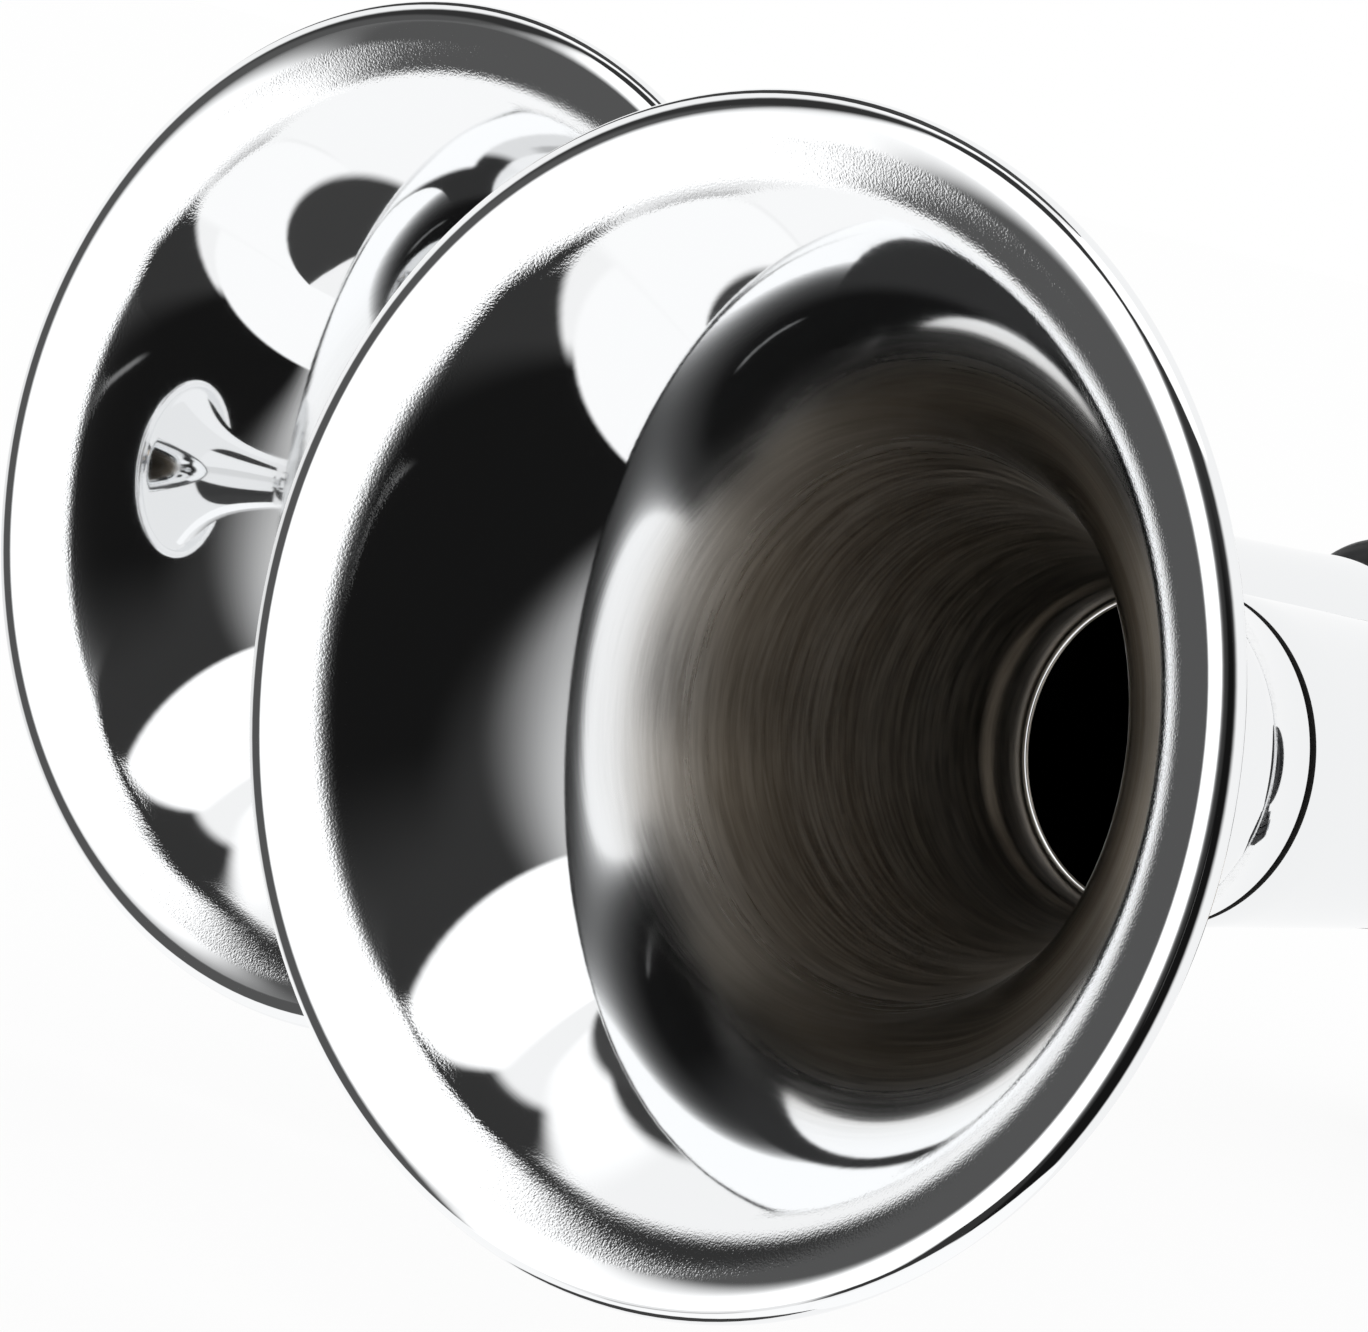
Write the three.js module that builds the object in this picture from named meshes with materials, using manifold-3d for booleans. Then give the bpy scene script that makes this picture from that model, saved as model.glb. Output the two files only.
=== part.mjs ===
// Dual trumpet air horn: two staggered spun trumpets on cast sound chambers, fed by a solenoid valve.
// Millimetres. The bells face -Y and +Z is up. The origin is the centre of the base's underside.

import * as THREE from "three";
import { mergeVertices } from "three/addons/utils/BufferGeometryUtils.js";
import Module from "manifold-3d";

// Layout
const AXIS_SPACING = 98.7; // between the two trumpet axes
const AXIS_HEIGHT = 60; // from the mounting surface to the trumpet axes
const LOW_REACH = 249; // long trumpet, rim plane to the mouth of its union nut
const HIGH_REACH = 177; // short trumpet, the same
const MOUTH_SETBACK = 66; // from the mouths of the union nuts back to the base's centre line

// Play and gaps between pieces
const FIT = 0.2; // radial play where pieces plug together
const GAP = 0.3; // between seated faces
const OVERRUN = 1; // how far a cutting tool passes the face that it opens
const WELD = 0.0005; // corners nearer than this are one corner

// Bell, spun from sheet
const RIM_RADIUS = 50;
const BEAD_RADIUS = 1.3; // rolled edge
const BEAD_DROP = 0.1; // bead's front behind the crest of the lip
const CREASE_INSET = 1.4; // crease between lip and bead, in from the rim
const LIP_ROUND = 4.2; // radius of the lip's front
const BELL_LENGTH = 65; // rim plane to the joint with the barrel
const SHEET = 0.6;
const NECK_RADIUS = 15.15; // outside, at the joint
const NECK_LENGTH = 7.5; // behind the inner step
const NECK_TAPER = 0.35;
const NECK_STEP = 0.4;
const JOINT_GAP = 0.5; // open line round the joint
const LIP_START_ANGLE = THREE.MathUtils.degToRad(56.6); // the flare's slope where the lip begins
const LIP_END_ANGLE = THREE.MathUtils.degToRad(112);
const BEAD_END_ANGLE = THREE.MathUtils.degToRad(135);
const NECK_ANGLE = THREE.MathUtils.degToRad(9.65); // the flare's slope where the neck begins
const FLARE_FRONT_SHARE = 0.3773; // front handle of the flare's curve, share of the rim radius
const FLARE_REAR_SHARE = 0.6331;

// Barrel, a tapered tube
const TUBE_WALL = 0.8;
const TAIL_RADIUS = 9.2; // plain end that plugs into the chamber
const TAIL_DEPTH = 30; // behind the mouth of the union nut
const SHOULDER_LENGTH = 12; // rounded end in front of the nut
const SHOULDER_DROP = 1.2;
const TAPER_BEND_SHARE = 1.5; // power of the taper: 1 would be a straight cone
const SPIGOT_LENGTH = 2; // plugs into the bell's neck, where its end shows as a ring

// Union nut and its seal
const NUT_RADIUS = 13.25;
const NUT_LENGTH = 18;
const NUT_EDGE = 2.2; // rounding of the mouth
const NUT_LIP = 4.5; // thickness of the closed end
const FLUTE_RADIUS = 1.4;
const FLUTE_DEPTH = 0.6;
const FLUTE_START = 7; // behind the mouth
const FLUTE_COUNT = 12;
const THREAD_RADIUS = 11.6;
const SEAL_LENGTH = 3;

// Sound chamber, places measured from the mouth of the nut
const SPOUT_END = 50; // where the spout starts to flare
const FLARE_LENGTH = 10;
const DISC_RADIUS = 32;
const DISC_BACK = 74; // face that the cover seats on
const DISC_EDGE = 1.5;
const SEAT_BORE = 6.5;
const SEAT_WALL = 2.5;
const GROOVE_RADIUS = 22.5; // ring of air round the seat
const GROOVE_DEPTH = 11.5; // from the cover's face
const RECESS_RADIUS = 26; // where the diaphragm and its rings lie
const RING_GAP = 0.2;
const RING_WIDTH = 3; // the rubber rings that hold the diaphragm
const RING_THICKNESS = 1;
const DIAPHRAGM_THICKNESS = 0.4;
const DIAPHRAGM_LIFT = 0.3; // travel off the seat
const LIFT_MARGIN = 0.15;

// Cover and its screws
const COVER_FLANGE = 4;
const CROWN_RADIUS = 25;
const CROWN_TOP_RADIUS = 17;
const CROWN_HEIGHT = 6; // above the flange
const COVER_WALL = 2.4;
const BOSS_RADIUS = 6.5;
const BOSS_HEIGHT = 2; // above the crown
const RIB_WIDTH = 2.2;
const RIB_HEIGHT = 1.4; // above the crown
const COVER_SCREW_COUNT = 6;
const COVER_SCREW_CIRCLE = 28.9; // radius that the screws stand on
const COVER_SCREW_RADIUS = 1.5;
const COVER_SCREW_LENGTH = 12;
const COVER_SCREW_HEAD = 2.5;
const COVER_SCREW_HEAD_HEIGHT = 2;

// Chamber foot
const FOOT_WIDTH = 30;
const FOOT_FRONT = 44;
const FOOT_BACK = 78;
const FOOT_THICKNESS = 7;
const FOOT_CORNER = 5;
const WEB_WIDTH = 10;
const WEB_FRONT = 42;
const WEB_BITE = 2.2; // how deep the web goes into the spout's wall
const PORT_RADIUS = 2.5;
const PORT_BOSS_WIDTH = 12;
const FOOT_BOLT_RADIUS = 2.4;
const FOOT_BOLT_LENGTH = 16.5;
const FOOT_BOLT_HEAD = 4;
const FOOT_BOLT_HEAD_HEIGHT = 3.4;
const FOOT_BOLT_OFFSET = 10.3; // from the trumpet's centre plane
const FOOT_BOLT_INSET = 6; // behind the foot's front edge

// Base, a casting with the air gallery in it
const BASE_MARGIN = 0.65; // on either side of the chambers' feet
const BASE_DEPTH = 48;
const BASE_CORNER = 12;
const BASE_THICKNESS = 8;
const BASE_EDGE = 1.2;
const PAD_TOP = 13;
const RAIL_WIDTH = 15;
const GALLERY_RADIUS = 3;
const GALLERY_HEIGHT = 7;
const GALLERY_END_WALL = 6;
const MOUNT_HOLE_RADIUS = 3.25;
const MOUNT_HOLE_X = 25;
const MOUNT_HOLE_Y = 16;
const HOLE_FLOOR = 3; // left under a blind hole
const ORING_RADIUS = 5.3;
const ORING_SECTION = 0.6;
const ORING_GROOVE_DEPTH = 1.1;
const ORING_GROOVE_PLAY = 0.3;
const ORING_REST = 0.1;
const PLUG_HEAD_RADIUS = 6;
const PLUG_HEAD_LENGTH = 4;
const PLUG_LENGTH = 9;

// Valve body
const VALVE_WIDTH = 28;
const VALVE_DEPTH = 32;
const VALVE_HEIGHT = 20;
const VALVE_EDGE = 0.8;
const VALVE_CORNER = 3;
const VALVE_PORT_RADIUS = 2.2;
const VALVE_SEAT_HEIGHT = 9; // above the valve's underside
const VALVE_SEAT_WALL = 1.8;
const VALVE_SEAT_STAND = 2.5; // the seat stands this far out of the pocket's floor
const POCKET_RADIUS = 8;
const INLET_HEIGHT = 11; // above the valve's underside
const INLET_RADIUS = 5;
const INLET_DEPTH = 7;
const INLET_BORE = 2.4;
const COLLAR_RADIUS = 10; // foot of the guide tube
const COLLAR_THICKNESS = 2.2;
const VALVE_SCREW_X = 10.5;
const VALVE_SCREW_Y = 11;
const VALVE_SCREW_RADIUS = 2;
const VALVE_SCREW_HEAD = 3.4;
const VALVE_SCREW_HEAD_HEIGHT = 2.6;
const VALVE_SCREW_LENGTH = 16;
const VALVE_SCREW_SINK = 4;

// Plunger, guide tube and coil
const PLUNGER_RADIUS = 4.7;
const PLUNGER_LENGTH = 25.5;
const PLUNGER_TRAVEL = 2;
const PLUNGER_SEAL_RADIUS = 4.4;
const PLUNGER_SEAL_THICKNESS = 1.8;
const SPRING_BORE = 2.9;
const SPRING_DEPTH = 10;
const SPRING_RADIUS = 2.2; // to the centre of the wire
const SPRING_WIRE = 0.35; // radius of the wire
const SPRING_TURNS = 5;
const GUIDE_WALL = 0.7;
const CORE_LENGTH = 10.3;
const STUD_RADIUS = 3;
const STUD_LENGTH = 7.5;
const YOKE_PLATE = 1.8;
const YOKE_WIDTH = 22;
const YOKE_REACH = 13; // plates behind the plunger's axis
const COIL_WIDTH = 30;
const COIL_DEPTH = 30;
const COIL_HEIGHT = 26;
const COIL_CORNER = 6;
const COIL_EDGE = 1;
const TERMINAL_BLOCK_WIDTH = 20;
const TERMINAL_BLOCK_DEPTH = 4;
const TERMINAL_BLOCK_HEIGHT = 8;
const TERMINAL_DROP = 12; // from the coil's top to the blades
const TERMINAL_WIDTH = 6.3;
const TERMINAL_THICKNESS = 0.8;
const TERMINAL_LENGTH = 9;
const TERMINAL_SINK = 3;
const TERMINAL_OFFSET = 5;
const WASHER_RADIUS = 6.5;
const WASHER_THICKNESS = 1;
const COIL_NUT_RADIUS = 5.8;
const COIL_NUT_HEIGHT = 4;

// Hose barb
const BARB_HEX_RADIUS = 7.4;
const BARB_HEX_LENGTH = 5;
const BARB_ROOT_RADIUS = 4.3;
const BARB_TIP_RADIUS = 3.6;
const BARB_PEAK_RADIUS = 5.2;
const BARB_PITCH = 5;
const BARB_COUNT = 3;
const BARB_SHANK = 4; // plain length behind the hexagon

// Facets round each kind of piece
const BELL_SIDES = 28;
const TUBE_SIDES = 20;
const CAST_SIDES = 20;
const VALVE_SIDES = 12;
const SMALL_SIDES = 8;
const HEX_SIDES = 6;
const FLARE_STEPS = 7;
const TAPER_STEPS = 4;
const BEAD_STEPS = 5;
const ROUND_STEPS = 3;
const CORNER_STEPS = 2;
const SPRING_STEPS = 6; // in each turn
const WIRE_STEPS = 2;

const QUARTER = Math.PI / 2;
const TURN = 2 * Math.PI;

const wasm = await Module();
wasm.setup();

// Finishes

const finishes = {
  polished: { color: 0xe6e8ea, roughness: 0.08, metalness: 1 },
  casting: { color: 0x17181a, roughness: 0.45, metalness: 0.1 },
  nut: { color: 0x141516, roughness: 0.5, metalness: 0 },
  rubber: { color: 0x1b1b1c, roughness: 0.85, metalness: 0 },
  steel: { color: 0xb9bcc0, roughness: 0.3, metalness: 1 },
  brass: { color: 0xc2a05a, roughness: 0.3, metalness: 1 },
  coil: { color: 0x101214, roughness: 0.55, metalness: 0 },
};

// Solids

function bare(geometry) {
  const copy = geometry.clone();
  copy.deleteAttribute("normal");
  copy.deleteAttribute("uv");
  return mergeVertices(copy, WELD);
}

function solid(geometry) {
  const merged = bare(geometry);
  const corners = [...merged.index.array];
  const triangles = [];
  for (let i = 0; i < corners.length; i += 3) {
    const [a, b, c] = corners.slice(i, i + 3);
    if (a !== b && b !== c && c !== a) triangles.push(a, b, c);
  }
  const vertProperties = Float32Array.from(merged.attributes.position.array);
  const triVerts = Uint32Array.from(triangles);
  return new wasm.Manifold(new wasm.Mesh({ numProp: 3, vertProperties, triVerts }));
}

function carved(body, { joins = [], cuts = [] }) {
  let result = solid(body);
  for (const piece of joins) result = result.add(solid(piece));
  for (const tool of cuts) result = result.subtract(solid(tool));
  const mesh = result.getMesh();
  const geometry = new THREE.BufferGeometry();
  const positions = Float32Array.from(mesh.vertProperties);
  geometry.setAttribute("position", new THREE.BufferAttribute(positions, 3));
  geometry.setIndex([...mesh.triVerts]);
  geometry.computeVertexNormals();
  return geometry;
}

// A profile of [radius, y] pairs, counter-clockwise, spun round the Y axis.
function turned(profile, sides) {
  const onAxis = profile[0][0] === 0 && profile.at(-1)[0] === 0;
  const outline = onAxis ? profile : [...profile, profile[0]];
  return new THREE.LatheGeometry(outline.map(([r, y]) => new THREE.Vector2(r, y)), sides);
}

function ring(inner, outer, start, end, sides) {
  return turned([[outer, start], [outer, end], [inner, end], [inner, start]], sides);
}

function rod(radius, start, end, sides) {
  return turned([[0, start], [radius, start], [radius, end], [0, end]], sides);
}

function upright(geometry, x = 0, y = 0) {
  return geometry.rotateX(QUARTER).translate(x, y, 0);
}

function pin(radius, x, y, low, high, sides = SMALL_SIDES) {
  return upright(rod(radius, low, high, sides), x, y);
}

function block(width, front, back, low, high) {
  const box = new THREE.BoxGeometry(width, back - front, high - low);
  return box.translate(0, (front + back) / 2, (low + high) / 2);
}

function roundedOutline(width, front, back, corner) {
  const side = width / 2;
  const outline = new THREE.Shape();
  outline.moveTo(corner - side, front);
  outline.absarc(side - corner, front + corner, corner, -QUARTER, 0);
  outline.absarc(side - corner, back - corner, corner, 0, QUARTER);
  outline.absarc(corner - side, back - corner, corner, QUARTER, 2 * QUARTER);
  outline.absarc(corner - side, front + corner, corner, 2 * QUARTER, 3 * QUARTER);
  return outline;
}

// A plate with rounded corners between two heights, its edges broken by a small chamfer.
function slab(width, front, back, corner, low, high, edge) {
  const outline = roundedOutline(width - 2 * edge, front + edge, back - edge, corner - edge);
  const settings = { depth: high - low - 2 * edge, bevelThickness: edge, bevelSize: edge };
  const steps = { bevelSegments: 1, curveSegments: CORNER_STEPS };
  const plate = new THREE.ExtrudeGeometry(outline, { ...settings, ...steps });
  return plate.translate(0, 0, low + edge);
}

function arcPoints(centre, radius, from, to, steps) {
  return Array.from({ length: steps + 1 }, (_, i) => {
    const angle = from + ((to - from) * i) / steps;
    return [centre[0] + radius * Math.cos(angle), centre[1] + radius * Math.sin(angle)];
  });
}

// The points of a quarter of an ellipse, from straight out along the radius to straight along the axis.
function quarterPoints(centre, width, length, steps) {
  return Array.from({ length: steps + 1 }, (_, i) => {
    const angle = (i * QUARTER) / steps;
    return [centre[0] + width * Math.cos(angle), centre[1] + length * Math.sin(angle)];
  });
}

function spread(count) {
  return Array.from({ length: count }, (_, i) => i / count);
}

function part(name, geometry, finish) {
  const mesh = new THREE.Mesh(geometry, new THREE.MeshStandardMaterial(finishes[finish]));
  mesh.name = name;
  return mesh;
}

// Bell

const lipReach = Math.cos(LIP_START_ANGLE) - Math.cos(LIP_END_ANGLE);
const lipStartRadius = RIM_RADIUS - CREASE_INSET - LIP_ROUND * lipReach;
const lipCentre = [
  lipStartRadius + LIP_ROUND * Math.cos(LIP_START_ANGLE),
  LIP_ROUND - BEAD_RADIUS - BEAD_DROP,
];
const lipStart = [lipStartRadius, lipCentre[1] - LIP_ROUND * Math.sin(LIP_START_ANGLE)];
const neckInner = NECK_RADIUS - SHEET;
const stepPlace = [neckInner + NECK_TAPER + NECK_STEP, BELL_LENGTH - NECK_LENGTH];

function flareCurve() {
  const front = FLARE_FRONT_SHARE * RIM_RADIUS;
  const rear = FLARE_REAR_SHARE * RIM_RADIUS;
  const lip = new THREE.Vector2(...lipStart);
  const neck = new THREE.Vector2(...stepPlace);
  const lipSlope = new THREE.Vector2(-Math.sin(LIP_START_ANGLE), Math.cos(LIP_START_ANGLE));
  const neckSlope = new THREE.Vector2(-Math.sin(NECK_ANGLE), Math.cos(NECK_ANGLE));
  const lipHandle = lip.clone().addScaledVector(lipSlope, front);
  const neckHandle = neck.clone().addScaledVector(neckSlope, -rear);
  return new THREE.CubicBezierCurve(lip, lipHandle, neckHandle, neck);
}

// The lip's front, from the flare over the crest to the crease, or the sheet's back face under it.
function lipPoints(radius, endAngle, steps) {
  const turn = (angle) => Math.PI + angle;
  return arcPoints(lipCentre, radius, turn(LIP_START_ANGLE), turn(endAngle), steps);
}

function bellProfile() {
  const curve = flareCurve();
  const inner = curve.getPoints(FLARE_STEPS).map((p) => [p.x, p.y]);
  const outer = inner.map(([r, y], i) => {
    const tangent = curve.getTangent(i / FLARE_STEPS);
    return [r + SHEET * tangent.y, y - SHEET * tangent.x];
  });
  const end = BELL_LENGTH - JOINT_GAP;
  const neck = [
    [NECK_RADIUS + NECK_TAPER, stepPlace[1] + NECK_STEP + SHEET / 2],
    [NECK_RADIUS, end],
    [neckInner, end],
    [neckInner + NECK_TAPER, stepPlace[1] + NECK_STEP],
  ];
  const bead = arcPoints([RIM_RADIUS - BEAD_RADIUS, 0], BEAD_RADIUS, -QUARTER, BEAD_END_ANGLE, BEAD_STEPS);
  return [
    ...outer,
    ...neck,
    ...inner.reverse(),
    ...lipPoints(LIP_ROUND, LIP_END_ANGLE, ROUND_STEPS).slice(1),
    ...bead,
    ...lipPoints(LIP_ROUND - SHEET, QUARTER, 1).reverse().slice(0, -1),
  ];
}

// Barrel

function barrelProfile(reach) {
  const shoulder = reach - SHOULDER_LENGTH;
  const endRadius = TAIL_RADIUS + SHOULDER_DROP;
  const radiusAt = (share) => endRadius + (NECK_RADIUS - endRadius) * (1 - share) ** TAPER_BEND_SHARE;
  const taper = Array.from({ length: TAPER_STEPS + 1 }, (_, i) => {
    const share = i / TAPER_STEPS;
    return [radiusAt(share), BELL_LENGTH + (shoulder - BELL_LENGTH) * share];
  });
  const rounding = quarterPoints([TAIL_RADIUS, shoulder], SHOULDER_DROP, SHOULDER_LENGTH, ROUND_STEPS);
  const spigot = neckInner - FIT;
  const front = BELL_LENGTH - SPIGOT_LENGTH;
  const bore = taper.slice(1).reverse().map(([r, y]) => [r - TUBE_WALL, y]);
  return [
    [spigot, front + SHEET / 2],
    [spigot, BELL_LENGTH],
    ...taper,
    ...rounding.slice(1),
    [TAIL_RADIUS, reach + TAIL_DEPTH],
    [TAIL_RADIUS - TUBE_WALL, reach + TAIL_DEPTH],
    ...bore,
    [spigot - SHEET, BELL_LENGTH + 2 * TUBE_WALL],
    [spigot - SHEET, front + SHEET / 2],
    [spigot - SHEET / 2, front],
  ];
}

// Union nut with grip flutes, and the ring that it squeezes

function unionNut() {
  const bore = TAIL_RADIUS + FIT;
  const thread = THREAD_RADIUS + FIT;
  const shell = turned([
    [bore, NUT_EDGE / 2],
    [bore + NUT_EDGE / 2, 0],
    ...arcPoints([NUT_RADIUS - NUT_EDGE, NUT_EDGE], NUT_EDGE, -QUARTER, 0, ROUND_STEPS),
    [NUT_RADIUS, NUT_LENGTH],
    [thread, NUT_LENGTH],
    [thread, NUT_LIP],
    [bore, NUT_LIP],
  ], CAST_SIDES);
  const flutes = spread(FLUTE_COUNT).map((share) => {
    const flute = rod(FLUTE_RADIUS, FLUTE_START, NUT_LENGTH + OVERRUN, HEX_SIDES);
    return flute.translate(NUT_RADIUS + FLUTE_RADIUS - FLUTE_DEPTH, 0, 0).rotateY(share * TURN);
  });
  return carved(shell, { cuts: flutes });
}

const sealStart = NUT_LIP + GAP;
const chamberFront = sealStart + SEAL_LENGTH + GAP;

function throatSeal() {
  return ring(TAIL_RADIUS + FIT, THREAD_RADIUS, sealStart, sealStart + SEAL_LENGTH, TUBE_SIDES);
}

// Sound chamber: spout, disc, web and foot in one casting

const discFront = SPOUT_END + FLARE_LENGTH;
const grooveFloor = DISC_BACK - GROOVE_DEPTH;
const rearRingStart = DISC_BACK - RING_THICKNESS;
const diaphragmBack = rearRingStart - DIAPHRAGM_LIFT - LIFT_MARGIN;
const diaphragmFront = diaphragmBack - DIAPHRAGM_THICKNESS;
const frontRingEnd = diaphragmFront - RING_GAP;
const frontRingStart = frontRingEnd - RING_THICKNESS;
const recessFloor = frontRingStart - RING_GAP;
const seatLip = diaphragmFront - RING_GAP;
const footUnderside = PAD_TOP + GAP - AXIS_HEIGHT;
const footTop = footUnderside + FOOT_THICKNESS;
const portPlace = MOUTH_SETBACK;
const coverScrewTip = DISC_BACK + GAP + COVER_FLANGE - COVER_SCREW_LENGTH;
const footBoltPlaces = [-FOOT_BOLT_OFFSET, FOOT_BOLT_OFFSET].map((x) => [x, FOOT_FRONT + FOOT_BOLT_INSET]);

function chamberOutside() {
  const flareEnd = DISC_RADIUS - DISC_EDGE;
  const flare = quarterPoints([flareEnd, SPOUT_END], NUT_RADIUS - flareEnd, FLARE_LENGTH, ROUND_STEPS);
  const step = NUT_LENGTH + GAP;
  return turned([
    [0, chamberFront],
    [THREAD_RADIUS, chamberFront],
    [THREAD_RADIUS, step],
    [NUT_RADIUS, step],
    ...flare,
    [DISC_RADIUS, discFront + DISC_EDGE],
    [DISC_RADIUS, DISC_BACK],
    [0, DISC_BACK],
  ], CAST_SIDES);
}

// All the air inside: the barrel's socket, the horn's bore up to its seat, the groove round the seat
// and the recess for the diaphragm.
function chamberInside() {
  const socket = TAIL_RADIUS + FIT;
  const socketEnd = TAIL_DEPTH + GAP;
  const seatOutside = SEAT_BORE + SEAT_WALL;
  return turned([
    [0, chamberFront - OVERRUN],
    [socket, chamberFront - OVERRUN],
    [socket, socketEnd],
    [TAIL_RADIUS - TUBE_WALL, socketEnd],
    [SEAT_BORE, seatLip],
    [seatOutside, seatLip],
    [seatOutside, grooveFloor],
    [GROOVE_RADIUS, grooveFloor],
    [GROOVE_RADIUS, recessFloor],
    [RECESS_RADIUS, recessFloor],
    [RECESS_RADIUS, DISC_BACK + OVERRUN],
    [0, DISC_BACK + OVERRUN],
  ], CAST_SIDES);
}

function screwHole(share) {
  const top = DISC_BACK + COVER_FLANGE + OVERRUN;
  const hole = rod(COVER_SCREW_RADIUS + FIT, coverScrewTip - GAP, top, HEX_SIDES);
  return hole.translate(COVER_SCREW_CIRCLE, 0, 0).rotateY(share * TURN);
}

function screwShares() {
  return spread(COVER_SCREW_COUNT).map((share) => share + 1 / (2 * COVER_SCREW_COUNT));
}

function soundChamber() {
  const webTop = WEB_BITE - NUT_RADIUS;
  const bossTop = RING_WIDTH - DISC_RADIUS;
  const boltHoles = footBoltPlaces.map(([x, y]) => (
    pin(FOOT_BOLT_RADIUS + FIT, x, y, footUnderside - OVERRUN, footTop + OVERRUN)
  ));
  const port = pin(PORT_RADIUS, 0, portPlace, footUnderside - OVERRUN, PORT_RADIUS - GROOVE_RADIUS);
  return carved(chamberOutside(), {
    joins: [
      block(WEB_WIDTH, WEB_FRONT, discFront + DISC_EDGE, footTop - OVERRUN, webTop),
      block(PORT_BOSS_WIDTH, discFront, DISC_BACK, footTop - OVERRUN, bossTop),
      slab(FOOT_WIDTH, FOOT_FRONT, FOOT_BACK, FOOT_CORNER, footUnderside, footTop, BASE_EDGE),
    ],
    cuts: [chamberInside(), port, ...boltHoles, ...screwShares().map(screwHole)],
  });
}

// Diaphragm between two rings

function diaphragmRing(start) {
  const outer = RECESS_RADIUS - GAP;
  return ring(outer - RING_WIDTH, outer, start, start + RING_THICKNESS, CAST_SIDES);
}

function diaphragm() {
  return rod(RECESS_RADIUS - GAP, diaphragmFront, diaphragmBack, CAST_SIDES);
}

// Cover with radial ribs, and its screws

const coverFront = DISC_BACK + GAP;
const coverShelf = coverFront + COVER_FLANGE;

function rearCover() {
  const crownTop = coverShelf + CROWN_HEIGHT;
  const shell = turned([
    [0, crownTop - COVER_WALL],
    [CROWN_TOP_RADIUS - COVER_WALL, crownTop - COVER_WALL],
    [GROOVE_RADIUS, coverShelf],
    [GROOVE_RADIUS, coverFront],
    [DISC_RADIUS, coverFront],
    [DISC_RADIUS, coverShelf - DISC_EDGE / 2],
    [DISC_RADIUS - DISC_EDGE / 2, coverShelf],
    [CROWN_RADIUS, coverShelf],
    [CROWN_RADIUS - COVER_WALL / 2, coverShelf + CROWN_HEIGHT / 2],
    [CROWN_TOP_RADIUS, crownTop],
    [BOSS_RADIUS, crownTop],
    [BOSS_RADIUS - DISC_EDGE, crownTop + BOSS_HEIGHT],
    [0, crownTop + BOSS_HEIGHT],
  ], CAST_SIDES);
  const ribs = spread(COVER_SCREW_COUNT).map((share) => {
    const length = CROWN_TOP_RADIUS + COVER_WALL;
    const rib = new THREE.BoxGeometry(length, CROWN_HEIGHT, RIB_WIDTH);
    return rib.translate(length / 2, crownTop + RIB_HEIGHT - CROWN_HEIGHT / 2, 0).rotateY(share * TURN);
  });
  return carved(shell, { joins: ribs, cuts: screwShares().map(screwHole) });
}

function coverScrew(share) {
  const seat = coverShelf + RING_GAP;
  const top = seat + COVER_SCREW_HEAD_HEIGHT;
  const screw = turned([
    [0, coverScrewTip],
    [COVER_SCREW_RADIUS, coverScrewTip],
    [COVER_SCREW_RADIUS, seat],
    [COVER_SCREW_HEAD, seat],
    [COVER_SCREW_HEAD, top],
    [0, top],
  ], HEX_SIDES);
  return screw.translate(COVER_SCREW_CIRCLE, 0, 0).rotateY(share * TURN);
}

function footBolt() {
  const top = FOOT_BOLT_LENGTH + FOOT_BOLT_HEAD_HEIGHT;
  const shank = rod(FOOT_BOLT_RADIUS, 0, FOOT_BOLT_LENGTH + FOOT_BOLT_HEAD_HEIGHT / 2, SMALL_SIDES);
  return upright(carved(shank, { joins: [rod(FOOT_BOLT_HEAD, FOOT_BOLT_LENGTH, top, HEX_SIDES)] }));
}

// One horn: everything on one trumpet's axis

function horn(name, side, reach) {
  const group = new THREE.Group();
  group.position.set((side * AXIS_SPACING) / 2, -MOUTH_SETBACK, AXIS_HEIGHT);
  const bell = part(`${name}_bell`, turned(bellProfile(), BELL_SIDES), "polished");
  const barrel = part(`${name}_barrel`, turned(barrelProfile(reach), TUBE_SIDES), "polished");
  bell.position.y = -reach;
  barrel.position.y = -reach;
  group.add(
    bell,
    barrel,
    part(`${name}_union_nut`, unionNut(), "nut"),
    part(`${name}_throat_seal`, throatSeal(), "rubber"),
    part(`${name}_sound_chamber`, soundChamber(), "casting"),
    part(`${name}_front_ring`, diaphragmRing(frontRingStart), "rubber"),
    part(`${name}_diaphragm`, diaphragm(), "steel"),
    part(`${name}_rear_ring`, diaphragmRing(rearRingStart), "rubber"),
    part(`${name}_rear_cover`, rearCover(), "casting"),
  );
  screwShares().forEach((share, i) => {
    group.add(part(`${name}_cover_screw_${i + 1}`, coverScrew(share), "steel"));
  });
  footBoltPlaces.forEach(([x, y], i) => {
    const mesh = part(`${name}_foot_bolt_${i + 1}`, footBolt(), "steel");
    mesh.position.set(x, y, footTop + RING_GAP - FOOT_BOLT_LENGTH);
    group.add(mesh);
  });
  return group;
}

// Base with pads, air gallery, ports and O-ring grooves

const baseWidth = AXIS_SPACING + FOOT_WIDTH + 2 * BASE_MARGIN;
const padPlaces = [-AXIS_SPACING / 2, 0, AXIS_SPACING / 2];
const padFront = FOOT_FRONT - MOUTH_SETBACK;
const padBack = FOOT_BACK - MOUTH_SETBACK;

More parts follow.
